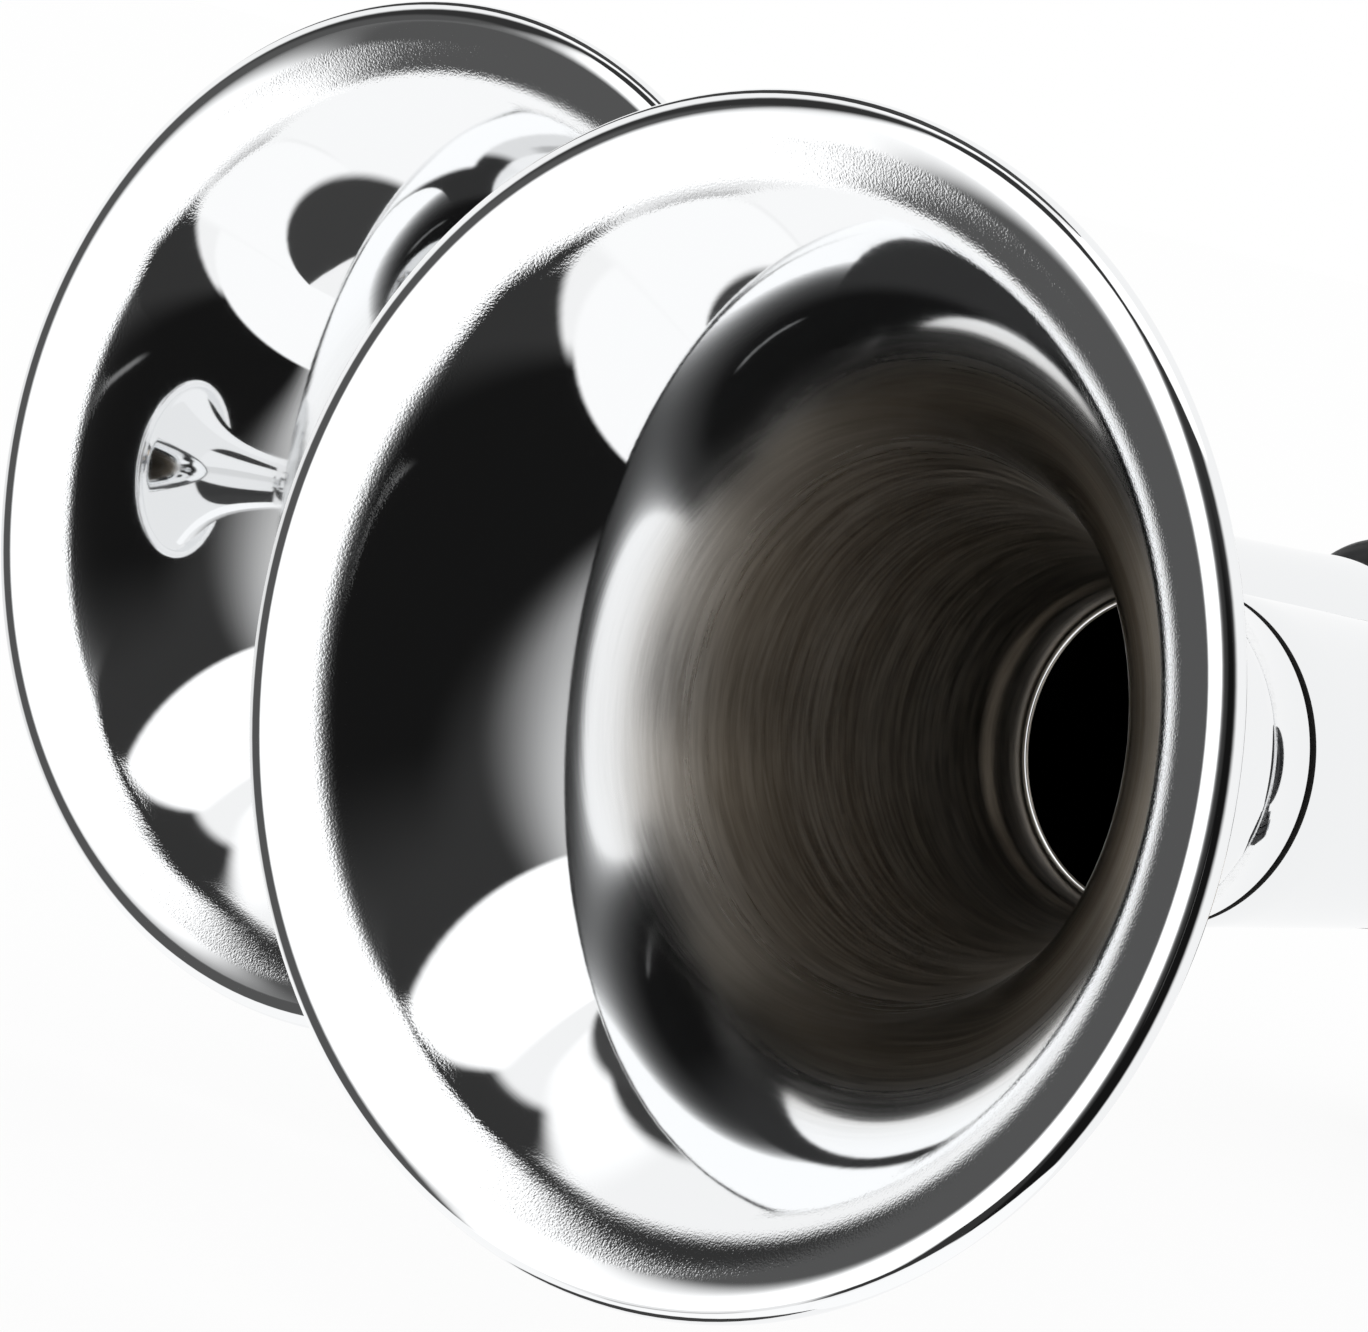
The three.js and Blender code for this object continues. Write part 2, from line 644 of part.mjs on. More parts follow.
function mountingBase() {
  const padRoot = BASE_THICKNESS / 2;
  const pads = padPlaces.map((x) => {
    const pad = x === 0
      ? slab(VALVE_WIDTH, -VALVE_DEPTH / 2, VALVE_DEPTH / 2, VALVE_CORNER, padRoot, PAD_TOP, BASE_EDGE)
      : slab(FOOT_WIDTH, padFront, padBack, FOOT_CORNER, padRoot, PAD_TOP, BASE_EDGE);
    return pad.translate(x, 0, 0);
  });
  const rail = block(AXIS_SPACING, -RAIL_WIDTH / 2, RAIL_WIDTH / 2, padRoot, PAD_TOP - BASE_EDGE);
  const ports = padPlaces.map((x) => pin(PORT_RADIUS, x, 0, GALLERY_HEIGHT, PAD_TOP + OVERRUN));
  const grooves = padPlaces.map((x) => {
    const play = ORING_SECTION + ORING_GROOVE_PLAY;
    const floor = PAD_TOP - ORING_GROOVE_DEPTH;
    const inner = ORING_RADIUS - play;
    return upright(ring(inner, ORING_RADIUS + play, floor, PAD_TOP + OVERRUN, VALVE_SIDES), x);
  });
  const galleryEnd = GALLERY_END_WALL - baseWidth / 2;
  const gallery = rod(GALLERY_RADIUS, galleryEnd, baseWidth / 2 + OVERRUN, SMALL_SIDES);
  const over = PAD_TOP + OVERRUN;
  const boltHoles = [-1, 1].flatMap((side) => footBoltPlaces.map(([x, y]) => {
    const across = (side * AXIS_SPACING) / 2 + x;
    return pin(FOOT_BOLT_RADIUS + FIT, across, y - MOUTH_SETBACK, HOLE_FLOOR, over);
  }));
  const mountHoles = [-1, 1].flatMap((x) => [-1, 1].map((y) => (
    pin(MOUNT_HOLE_RADIUS, x * MOUNT_HOLE_X, y * MOUNT_HOLE_Y, -OVERRUN, over)
  )));
  const valveHoles = [-1, 1].flatMap((side) => [
    pin(VALVE_SCREW_RADIUS + FIT, side * VALVE_SCREW_X, side * VALVE_SCREW_Y, -OVERRUN, over),
    pin(VALVE_SCREW_HEAD + GAP, side * VALVE_SCREW_X, side * VALVE_SCREW_Y, -OVERRUN, VALVE_SCREW_SINK),
  ]);
  const plate = slab(baseWidth, -BASE_DEPTH / 2, BASE_DEPTH / 2, BASE_CORNER, 0, BASE_THICKNESS, BASE_EDGE);
  return carved(plate, {
    joins: [...pads, rail],
    cuts: [
      gallery.rotateZ(-QUARTER).translate(0, 0, GALLERY_HEIGHT),
      ...ports, ...grooves, ...boltHoles, ...mountHoles, ...valveHoles,
    ],
  });
}

function portSeal() {
  return new THREE.TorusGeometry(ORING_RADIUS, ORING_SECTION, HEX_SIDES, VALVE_SIDES);
}

const portSealHeight = PAD_TOP - ORING_GROOVE_DEPTH + ORING_REST + ORING_SECTION;

function galleryPlug() {
  const shank = rod(GALLERY_RADIUS - FIT, -PLUG_LENGTH, PLUG_HEAD_LENGTH / 2, SMALL_SIDES);
  const head = rod(PLUG_HEAD_RADIUS, GAP, PLUG_HEAD_LENGTH, HEX_SIDES);
  return carved(shank, { joins: [head] }).rotateZ(-QUARTER);
}

// Valve, built upward from its underside

const valveBottom = PAD_TOP + GAP;
const valveTop = valveBottom + VALVE_HEIGHT;
const seatTop = valveBottom + VALVE_SEAT_HEIGHT;
const pocketFloor = seatTop - VALVE_SEAT_STAND;
const collarSeat = valveTop - COLLAR_THICKNESS - GAP;
const plungerSealBottom = seatTop + RING_GAP;
const plungerBottom = plungerSealBottom + PLUNGER_SEAL_THICKNESS + RING_GAP;
const plungerTop = plungerBottom + PLUNGER_LENGTH;
const coreBottom = plungerTop + PLUNGER_TRAVEL + GAP;
const coreTop = coreBottom + CORE_LENGTH;
const guideBore = PLUNGER_RADIUS + FIT;
const guideRadius = guideBore + GUIDE_WALL;
const guideTop = coreTop + GAP + GUIDE_WALL;
const yokeBottom = valveTop + GAP;
const coilBottom = yokeBottom + YOKE_PLATE + GAP;
const coilTop = coilBottom + COIL_HEIGHT;
const terminalHeight = coilTop - TERMINAL_DROP;
const yokeTop = coilTop + GAP + YOKE_PLATE;
const washerBottom = Math.max(yokeTop, guideTop) + GAP;
const coilNutBottom = washerBottom + WASHER_THICKNESS + GAP;

function valveBody() {
  const seatOutside = VALVE_PORT_RADIUS + VALVE_SEAT_WALL;
  const inside = turned([
    [0, valveBottom - OVERRUN],
    [VALVE_PORT_RADIUS, valveBottom - OVERRUN],
    [VALVE_PORT_RADIUS, seatTop],
    [seatOutside, seatTop],
    [seatOutside, pocketFloor],
    [POCKET_RADIUS, pocketFloor],
    [POCKET_RADIUS, collarSeat],
    [COLLAR_RADIUS + GAP, collarSeat],
    [COLLAR_RADIUS + GAP, valveTop + OVERRUN],
    [0, valveTop + OVERRUN],
  ], VALVE_SIDES);
  const back = VALVE_DEPTH / 2;
  const inlet = rod(INLET_RADIUS, back - INLET_DEPTH, back + OVERRUN, VALVE_SIDES);
  const inletBore = rod(INLET_BORE, POCKET_RADIUS - INLET_BORE, back, SMALL_SIDES);
  const screwHoles = [-1, 1].map((side) => {
    const top = VALVE_SCREW_SINK + VALVE_SCREW_LENGTH;
    return pin(VALVE_SCREW_RADIUS + FIT, side * VALVE_SCREW_X, side * VALVE_SCREW_Y, 0, top);
  });
  const inletHeight = valveBottom + INLET_HEIGHT;
  const body = slab(VALVE_WIDTH, -back, back, VALVE_CORNER, valveBottom, valveTop, VALVE_EDGE);
  return carved(body, {
    cuts: [
      upright(inside), ...screwHoles,
      inlet.translate(0, 0, inletHeight), inletBore.translate(0, 0, inletHeight),
    ],
  });
}

function guideTube() {
  return upright(turned([
    [guideBore, collarSeat + GAP],
    [COLLAR_RADIUS, collarSeat + GAP],
    [COLLAR_RADIUS, valveTop],
    [guideRadius, valveTop],
    [guideRadius, guideTop],
    [STUD_RADIUS, guideTop],
    [STUD_RADIUS, guideTop + STUD_LENGTH],
    [0, guideTop + STUD_LENGTH],
    [0, guideTop - GUIDE_WALL],
    [guideBore, guideTop - GUIDE_WALL],
  ], VALVE_SIDES));
}

function plunger() {
  return upright(turned([
    [0, plungerBottom],
    [PLUNGER_RADIUS, plungerBottom],
    [PLUNGER_RADIUS, plungerTop],
    [SPRING_BORE, plungerTop],
    [SPRING_BORE, plungerTop - SPRING_DEPTH],
    [0, plungerTop - SPRING_DEPTH],
  ], VALVE_SIDES));
}

function plungerSeal() {
  return pin(PLUNGER_SEAL_RADIUS, 0, 0, plungerSealBottom, plungerSealBottom + PLUNGER_SEAL_THICKNESS);
}

function fixedCore() {
  return upright(rod(PLUNGER_RADIUS, coreBottom, coreTop, VALVE_SIDES));
}

function returnSpring() {
  const low = plungerTop - SPRING_DEPTH + SPRING_WIRE + ORING_REST;
  const high = coreBottom - SPRING_WIRE - ORING_REST;
  const helix = new THREE.Curve();
  helix.getPoint = (t, target = new THREE.Vector3()) => {
    const angle = t * SPRING_TURNS * TURN;
    const height = low + (high - low) * t;
    return target.set(SPRING_RADIUS * Math.cos(angle), SPRING_RADIUS * Math.sin(angle), height);
  };
  const wire = new THREE.Shape();
  wire.absarc(0, 0, SPRING_WIRE, 0, TURN);
  const steps = SPRING_TURNS * SPRING_STEPS;
  const settings = { extrudePath: helix, steps, curveSegments: WIRE_STEPS, bevelEnabled: false };
  return new THREE.ExtrudeGeometry(wire, settings);
}

function yoke() {
  const front = -COIL_DEPTH / 2 - GAP;
  const low = yokeBottom + YOKE_PLATE;
  const high = yokeTop - YOKE_PLATE;
  const strap = block(YOKE_WIDTH, front - YOKE_PLATE, YOKE_REACH, yokeBottom, yokeTop);
  const window = block(YOKE_WIDTH + OVERRUN, front, YOKE_REACH + OVERRUN, low, high);
  const hole = pin(guideRadius + GAP, 0, 0, yokeBottom - OVERRUN, yokeTop + OVERRUN, VALVE_SIDES);
  return carved(strap, { cuts: [window, hole] });
}

function coil() {
  const back = COIL_DEPTH / 2;
  const housing = slab(COIL_WIDTH, -back, back, COIL_CORNER, coilBottom, coilTop, COIL_EDGE);
  const face = back + TERMINAL_BLOCK_DEPTH;
  const low = terminalHeight - TERMINAL_BLOCK_HEIGHT / 2;
  const high = terminalHeight + TERMINAL_BLOCK_HEIGHT / 2;
  const terminalBlock = block(TERMINAL_BLOCK_WIDTH, back - COIL_EDGE * 2, face, low, high);
  const slots = [-1, 1].map((side) => terminalBlade(FIT).translate(side * TERMINAL_OFFSET, 0, 0));
  const bore = pin(guideRadius + GAP, 0, 0, coilBottom - OVERRUN, coilTop + OVERRUN, VALVE_SIDES);
  return carved(housing, { joins: [terminalBlock], cuts: [bore, ...slots] });
}

// A spade blade in the terminal block, or the slot for it when play is given.
function terminalBlade(play) {
  const face = COIL_DEPTH / 2 + TERMINAL_BLOCK_DEPTH;
  const half = TERMINAL_THICKNESS / 2 + play;
  const low = terminalHeight - half;
  const high = terminalHeight + half;
  return block(TERMINAL_WIDTH + 2 * play, face - TERMINAL_SINK - play, face + TERMINAL_LENGTH, low, high);
}

function coilWasher() {
  const top = washerBottom + WASHER_THICKNESS;
  return upright(ring(STUD_RADIUS + FIT, WASHER_RADIUS, washerBottom, top, VALVE_SIDES));
}

function coilNut() {
  const top = coilNutBottom + COIL_NUT_HEIGHT;
  const nut = rod(COIL_NUT_RADIUS, coilNutBottom, top, HEX_SIDES);
  const hole = rod(STUD_RADIUS + FIT, coilNutBottom - OVERRUN, top + OVERRUN, VALVE_SIDES);
  return upright(carved(nut, { cuts: [hole] }));
}

function hoseBarb() {
  const face = VALVE_DEPTH / 2;
  const hexStart = face + GAP;
  const barbStart = hexStart + BARB_HEX_LENGTH + BARB_SHANK;
  const tip = barbStart + BARB_COUNT * BARB_PITCH;
  const barbs = Array.from({ length: BARB_COUNT }, (_, i) => {
    const start = barbStart + i * BARB_PITCH;
    const endRadius = i < BARB_COUNT - 1 ? BARB_ROOT_RADIUS : BARB_TIP_RADIUS;
    return [[BARB_ROOT_RADIUS, start], [BARB_PEAK_RADIUS, start], [endRadius, start + BARB_PITCH]];
  });
  const body = turned([
    [INLET_BORE, face - INLET_DEPTH + GAP],
    [INLET_RADIUS - FIT, face - INLET_DEPTH + GAP],
    [INLET_RADIUS - FIT, hexStart + BARB_HEX_LENGTH / 2],
    [BARB_ROOT_RADIUS, hexStart + BARB_HEX_LENGTH / 2],
    ...barbs.flat(),
    [INLET_BORE, tip],
  ], VALVE_SIDES);
  const hexagon = rod(BARB_HEX_RADIUS, hexStart, hexStart + BARB_HEX_LENGTH, HEX_SIDES);
  const bore = rod(INLET_BORE, 0, tip + OVERRUN, VALVE_SIDES);
  return carved(body, { joins: [hexagon], cuts: [bore] }).translate(0, 0, valveBottom + INLET_HEIGHT);
}

function valveScrew(side) {
  const seat = VALVE_SCREW_SINK - RING_GAP;
  const screw = turned([
    [0, seat - VALVE_SCREW_HEAD_HEIGHT],
    [VALVE_SCREW_HEAD, seat - VALVE_SCREW_HEAD_HEIGHT],
    [VALVE_SCREW_HEAD, seat],
    [VALVE_SCREW_RADIUS, seat],
    [VALVE_SCREW_RADIUS, seat + VALVE_SCREW_LENGTH - GAP],
    [0, seat + VALVE_SCREW_LENGTH - GAP],
  ], SMALL_SIDES);
  return upright(screw, side * VALVE_SCREW_X, side * VALVE_SCREW_Y);
}

function airValve() {
  const group = new THREE.Group();
  group.add(
    part("valve_body", valveBody(), "brass"),
    part("guide_tube", guideTube(), "steel"),
    part("plunger", plunger(), "steel"),
    part("plunger_seal", plungerSeal(), "rubber"),
    part("fixed_core", fixedCore(), "steel"),
    part("return_spring", returnSpring(), "steel"),
    part("coil_yoke", yoke(), "steel"),
    part("solenoid_coil", coil(), "coil"),
    part("coil_washer", coilWasher(), "steel"),
    part("coil_nut", coilNut(), "steel"),
    part("hose_barb", hoseBarb(), "brass"),
    part("valve_screw_1", valveScrew(-1), "steel"),
    part("valve_screw_2", valveScrew(1), "steel"),
  );
  [-1, 1].forEach((side, i) => {
    const blade = part(`terminal_${i + 1}`, terminalBlade(0), "brass");
    blade.position.x = side * TERMINAL_OFFSET;
    group.add(blade);
  });
  return group;
}

function baseGroup() {
  const group = new THREE.Group();
  group.add(part("mounting_base", mountingBase(), "casting"));
  ["high", "valve", "low"].forEach((name, i) => {
    const seal = part(`${name}_port_seal`, portSeal(), "rubber");
    seal.position.set(padPlaces[i], 0, portSealHeight);
    group.add(seal);
  });
  const plug = part("gallery_plug", galleryPlug(), "steel");
  plug.position.set(baseWidth / 2, 0, GALLERY_HEIGHT);
  group.add(plug);
  return group;
}

const airHorn = new THREE.Group();
airHorn.add(horn("low", 1, LOW_REACH), horn("high", -1, HIGH_REACH), baseGroup(), airValve());

export default airHorn;
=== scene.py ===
"""Looks of the dual trumpet air horn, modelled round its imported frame.

The bells face -Y and +Z is up. Sizes are in millimetres in the classes and become metres in the meshes.
"""
import logging
import math
from collections.abc import Callable, Sequence
from dataclasses import dataclass
from enum import Enum
from functools import partial

import bpy
from mathutils import Matrix, Vector


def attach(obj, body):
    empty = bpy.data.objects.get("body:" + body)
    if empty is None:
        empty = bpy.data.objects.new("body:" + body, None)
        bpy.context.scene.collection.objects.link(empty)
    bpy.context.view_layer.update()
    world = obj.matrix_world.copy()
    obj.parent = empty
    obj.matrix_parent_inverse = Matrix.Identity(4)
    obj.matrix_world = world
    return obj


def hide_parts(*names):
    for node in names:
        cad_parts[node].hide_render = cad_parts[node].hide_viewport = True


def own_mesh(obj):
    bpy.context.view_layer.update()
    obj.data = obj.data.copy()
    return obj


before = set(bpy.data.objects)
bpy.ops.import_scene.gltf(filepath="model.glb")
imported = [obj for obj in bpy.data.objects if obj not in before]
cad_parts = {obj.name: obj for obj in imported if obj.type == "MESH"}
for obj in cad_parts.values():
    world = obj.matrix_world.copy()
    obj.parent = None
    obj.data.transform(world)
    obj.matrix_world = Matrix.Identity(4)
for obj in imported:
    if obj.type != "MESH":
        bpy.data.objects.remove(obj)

Point = tuple[float, float]
Place = tuple[float, float, float]
Tree = bpy.types.NodeTree
Node = bpy.types.Node
Piece = bpy.types.Object
Material = bpy.types.Material
Adder = Callable[..., Node]

LOG = logging.getLogger("air_horn")
MM = 0.001
WELD = 0.000002  # points nearer than this many metres are one
QUARTER = math.pi / 2
TURN = 2 * math.pi
WHITE = (1, 1, 1, 1)
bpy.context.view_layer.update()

# Sizes that several classes share, in millimetres
SPACING = 98.7  # between the two trumpet axes
HEIGHT = 60.0  # of the axes over the base's underside
SETBACK = 66.0  # of the union nuts' mouths, in front of the base's middle
LOW_REACH = 249.0  # from the long trumpet's rim plane to its nut's mouth
HIGH_REACH = 177.0  # the same on the short trumpet
NECK_RADIUS = 15.15
COVER_SCREWS = 6
SCREW_CIRCLE = 28.9
FIRST_SCREW = 30.0  # degrees round from +X
SCREW_HOLE = 1.7
BOLT_HOLE = 2.6
BOLT_AT = (10.3, -16.0)  # from the horn's axis, and from the base's middle
VALVE_SCREW_HOLE = 2.2
VALVE_SCREW_AT = (10.5, 11.0)


# Shared ways of working


def linear(code: str) -> tuple[float, float, float, float]:
    """Turns an sRGB hex colour into linear light.

    Args:
        code: six hex digits after a hash sign.

    Returns:
        Linear red, green, blue and an alpha of 1.
    """
    shares = [int(code[i : i + 2], 16) / 255 for i in (1, 3, 5)]
    lit = [c / 12.92 if c <= 0.04045 else ((c + 0.055) / 1.055) ** 2.4 for c in shares]
    return (lit[0], lit[1], lit[2], 1.0)


def feed(node: Node, inputs: dict) -> None:
    """Sets or links inputs of a node.

    Args:
        node: the node whose inputs they are.
        inputs: sockets by name or number, each a value, a socket, or a node whose first output is used.
    """
    for key, value in inputs.items():
        if isinstance(value, Node):
            value = next(socket for socket in value.outputs if socket.enabled)
        if isinstance(value, bpy.types.NodeSocket):
            node.id_data.links.new(value, node.inputs[key])
        else:
            node.inputs[key].default_value = value


def add_node(tree: Tree, kind: str, inputs: dict | None = None, **settings: object) -> Node:
    """Adds a node with its settings and its inputs.

    Args:
        tree: the node tree that it goes in.
        kind: the node's type name after "ShaderNode".
        inputs: what feeds it.
        **settings: properties of the node itself.

    Returns:
        The new node.
    """
    node = tree.nodes.new("ShaderNode" + kind)
    for name, value in settings.items():
        setattr(node, name, value)
    feed(node, inputs or {})
    return node


def new_finish(name: str) -> tuple[Material, Node, Adder]:
    """Makes a material.

    Args:
        name: the material's name.

    Returns:
        The material, its principled shader, and add_node for its tree.
    """
    material = bpy.data.materials.new(name)
    material.use_nodes = True
    tree = material.node_tree
    return material, tree.nodes["Principled BSDF"], partial(add_node, tree)


def stage_cloth(piece: Piece, name: str) -> Adder:
    """Hides a piece from all but mirrors and gives it an empty material that isn't sampled as a lamp.

    Args:
        piece: the piece of the studio.
        name: the material's name.

    Returns:
        add_node for the material's tree.
    """
    for ray in ("camera", "diffuse", "shadow", "transmission", "volume_scatter"):
        setattr(piece, f"visible_{ray}", False)
    material = bpy.data.materials.new(name)
    material.use_nodes = True
    material.cycles.emission_sampling = "NONE"
    material.node_tree.nodes.clear()
    piece.data.materials.append(material)
    return partial(add_node, material.node_tree)


def arc(centre: Point, radius: Point, start: float, end: float, steps: int) -> list[Point]:
    """Gives points on an arc of an ellipse.

    Args:
        centre: radius and depth of the middle.
        radius: half axes across and along.
        start: first angle in degrees, from straight out along the radius.
        end: last angle in degrees.
        steps: stretches between the points.

    Returns:
        One more point than there are steps.
    """
    angles = [math.radians(start + (end - start) * i / steps) for i in range(steps + 1)]
    return [(centre[0] + radius[0] * math.cos(a), centre[1] + radius[1] * math.sin(a)) for a in angles]


def only(piece: Piece) -> Piece:
    """Makes a piece the only selected one and the active one, and returns it."""
    bpy.ops.object.select_all(action="DESELECT")
    piece.select_set(True)
    bpy.context.view_layer.objects.active = piece
    return piece


def spun(outline: Sequence[Point], steps: int) -> Piece:
    """Spins a closed outline round the Y axis into one closed shell.

    Args:
        outline: corners as radius and depth; it may start and end on the axis.
        steps: facets in the full turn.

    Returns:
        The new piece.
    """
    bpy.ops.object.select_all(action="DESELECT")
    bpy.ops.mesh.primitive_circle_add(vertices=len(outline), fill_type="NOTHING")
    piece = bpy.context.active_object
    for vertex, (radius, depth) in zip(piece.data.vertices, outline):
        vertex.co = (radius * MM, depth * MM, 0)
    bpy.ops.object.mode_set(mode="EDIT")
    bpy.ops.mesh.select_all(action="SELECT")
    bpy.ops.mesh.spin(steps=steps, angle=TURN, center=(0, 0, 0), axis=(0, 1, 0))
    bpy.ops.mesh.select_all(action="SELECT")
    bpy.ops.mesh.remove_doubles(threshold=WELD)
    bpy.ops.mesh.delete_loose(use_verts=True, use_edges=True, use_faces=False)
    bpy.ops.mesh.select_all(action="SELECT")
    bpy.ops.mesh.normals_make_consistent(inside=False)
    bpy.ops.object.mode_set(mode="OBJECT")
    return piece


def placed(piece: Piece, at: Place = (0, 0, 0), turn: Place = (0, 0, 0)) -> Piece:
    """Turns a piece by degrees, moves it by millimetres, and applies both to its mesh."""
    only(piece)
    piece.rotation_euler = [math.radians(angle) for angle in turn]
    piece.location = [value * MM for value in at]
    bpy.ops.object.transform_apply(location=True, rotation=True, scale=True)
    return piece


def twin(piece: Piece) -> Piece:
    """Copies a piece with a mesh of its own, and returns the copy."""
    only(piece)
    bpy.ops.object.duplicate()
    return bpy.context.active_object


def bevelled(piece: Piece, test: Callable[[Vector, Vector], bool], width: float, segments: int) -> Piece:
    """Bevels those edges of a piece whose two ends pass a test.

    Args:
        piece: the piece to shape.
        test: takes the two ends of an edge, in metres.
        width: how far the bevel reaches, in millimetres.
        segments: facets across the bevel.

    Returns:
        The same piece.
    """
    only(piece)
    bpy.context.tool_settings.mesh_select_mode = (False, True, False)
    mesh = piece.data
    for item in [*mesh.vertices, *mesh.polygons]:
        item.select = False
    for edge in mesh.edges:
        start, end = (mesh.vertices[i].co for i in edge.vertices)
        edge.select = test(start, end)
    bpy.ops.object.mode_set(mode="EDIT")
    bpy.ops.mesh.bevel(offset=width * MM, segments=segments, affect="EDGES")
    bpy.ops.object.mode_set(mode="OBJECT")
    return piece


class Join(Enum):
    """How a tool changes the piece that it meets."""

    ADD = "UNION"
    CUT = "DIFFERENCE"
    KEEP = "INTERSECT"


def worked(piece: Piece, how: Join, *tools: Piece) -> Piece:
    """Joins tools to a piece or cuts them from it, and removes the tools.

    Args:
        piece: the piece to shape.
        how: the kind of change.
        *tools: closed shells, spent by this.

    Returns:
        The same piece.
    """
    for tool in tools:
        only(piece)
        bpy.ops.object.modifier_add(type="BOOLEAN")
        change = piece.modifiers[-1]
        change.operation = how.value
        change.solver = "MANIFOLD"
        change.object = tool
        bpy.ops.object.modifier_apply(modifier=change.name)
        bpy.data.objects.remove(tool)
    return piece


def block(low: Place, high: Place, corner: float = 0, edge: float = 0) -> Piece:
    """Builds an upright block with rounded corners and rounded rims.

    Args:
        low: lowest corner in millimetres.
        high: highest corner.
        corner: rounding of the four upright edges.
        edge: rounding of the rims of top and bottom.

    Returns:
        The new piece.
    """
    bpy.ops.object.select_all(action="DESELECT")
    middle = [(a + b) / 2 * MM for a, b in zip(low, high)]
    sizes = [(b - a) * MM for a, b in zip(low, high)]
    bpy.ops.mesh.primitive_cube_add(size=1, location=middle, scale=sizes)
    bpy.ops.object.transform_apply(location=True, rotation=True, scale=True)
    piece = bpy.context.active_object
    if corner:
        bevelled(piece, lambda a, b: abs(a.z - b.z) > WELD, corner, 8)
    if edge:
        ends = (low[2] * MM, high[2] * MM)
        bevelled(piece, lambda a, b: any(abs(a.z - end) + abs(b.z - end) < WELD for end in ends), edge, 3)
    return piece


def rod(radius: float, start: float, end: float, widened: float = 0, at: float = 0) -> Piece:
    """Builds a round bar along +Y, or the cutter for a hole.

    Args:
        radius: its radius in millimetres.
        start: where it begins.
        end: where it ends.
        widened: how much wider the hole's mouth is, for a countersink.
        at: the face that the countersink opens in.

    Returns:
        The new piece.
    """
    outline = [(0, start), (radius, start)]
    if widened:
        outline.append((radius, at - widened))
        outline.append((radius + widened + end - at, end))
    else:
        outline.append((radius, end))
    return spun([*outline, (0, end)], 48)


def hexagon(radius: float, start: float, end: float) -> Piece:
    """Builds a hexagon along +Y with corners up and down and both its ends chamfered.

    Args:
        radius: to its corners, in millimetres.
        start: where it begins.
        end: where it ends.

    Returns:
        The new piece.
    """
    piece = placed(spun([(0, start), (radius, start), (radius, end), (0, end)], 6), turn=(0, 30, 0))
    flat, wide, drop = radius * 0.88, radius * 1.01, radius * 0.075
    turned = [(0, start), (flat, start), (wide, start + drop), (wide, end - drop), (flat, end), (0, end)]
    return worked(piece, Join.KEEP, spun(turned, 96))


def stood(piece: Piece) -> Piece:
    """Stands a piece that lies along +Y up along +Z."""
    return placed(piece, turn=(90, 0, 0))


def ringed(piece: Piece, count: int, circle: float, first: float = 0) -> list[Piece]:
    """Sets copies of a piece in a ring round the Y axis.

    Args:
        piece: the first of the ring, at the origin.
        count: how many there are in all.
        circle: how far from the axis they stand, in millimetres.
        first: the first one's angle in degrees.

    Returns:
        All of them, the given piece first.
    """
    placed(piece, (circle, 0, 0))
    copies = [twin(piece) for _ in range(count - 1)]
    return [placed(each, turn=(0, first + i * 360 / count, 0)) for i, each in enumerate((piece, *copies))]


def bored(place: Point, radius: float, low: float, high: float, **mouth: float) -> Piece:
    """Builds the cutter for an upright hole.

    Args:
        place: where it is, from -X to +X and from -Y to +Y.
        radius: its radius in millimetres.
        low: its lower end.
        high: its upper end.
        **mouth: the last two arguments of rod.

    Returns:
        The cutter.
    """
    return placed(stood(rod(radius, low, high, **mouth)), (*place, 0))


def cover_ring(piece: Piece) -> list[Piece]:
    """Sets copies of a piece at the places of the cover screws."""
    return ringed(piece, COVER_SCREWS, SCREW_CIRCLE, FIRST_SCREW)


def outward(face: bpy.types.MeshPolygon) -> float:
    """Gives a number above 0 for a face that looks away from the Y axis, and below 0 for one facing it."""
    return face.center.x * face.normal.x + face.center.z * face.normal.z


def dressed(
    piece: Piece,
    name: str,
    nodes: Sequence[str],
    slot: str,
    finishes: Sequence[Material],
    body: str = "horn_frame",
    smooth: float = 32,
) -> Piece:
    """Names a finished piece, gives it its finishes and its body, and reports it.

    Args:
        piece: the piece, with its place in its mesh.
        name: the piece's name.
        nodes: the CAD nodes that it stands for.
        slot: the record's material slot.
        finishes: its materials, in the order of its faces' numbers.
        body: the body that it rides on.
        smooth: the widest angle in degrees that still looks round.

    Returns:
        The same piece.
    """
    piece.name = name
    piece.data.name = name
    if len(finishes) == 1:
        # A Boolean leaves an empty slot behind; clearing the list also takes its faces' numbers back to 0.
        piece.data.materials.clear()
    for finish in finishes:
        piece.data.materials.append(finish)
    only(piece)
    bpy.ops.object.shade_smooth_by_angle(angle=math.radians(smooth))
    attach(piece, body)
    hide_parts(*nodes)
    LOG.info("%s: %d faces, in %s", name, len(piece.data.polygons), slot)
    return piece


# Finishes


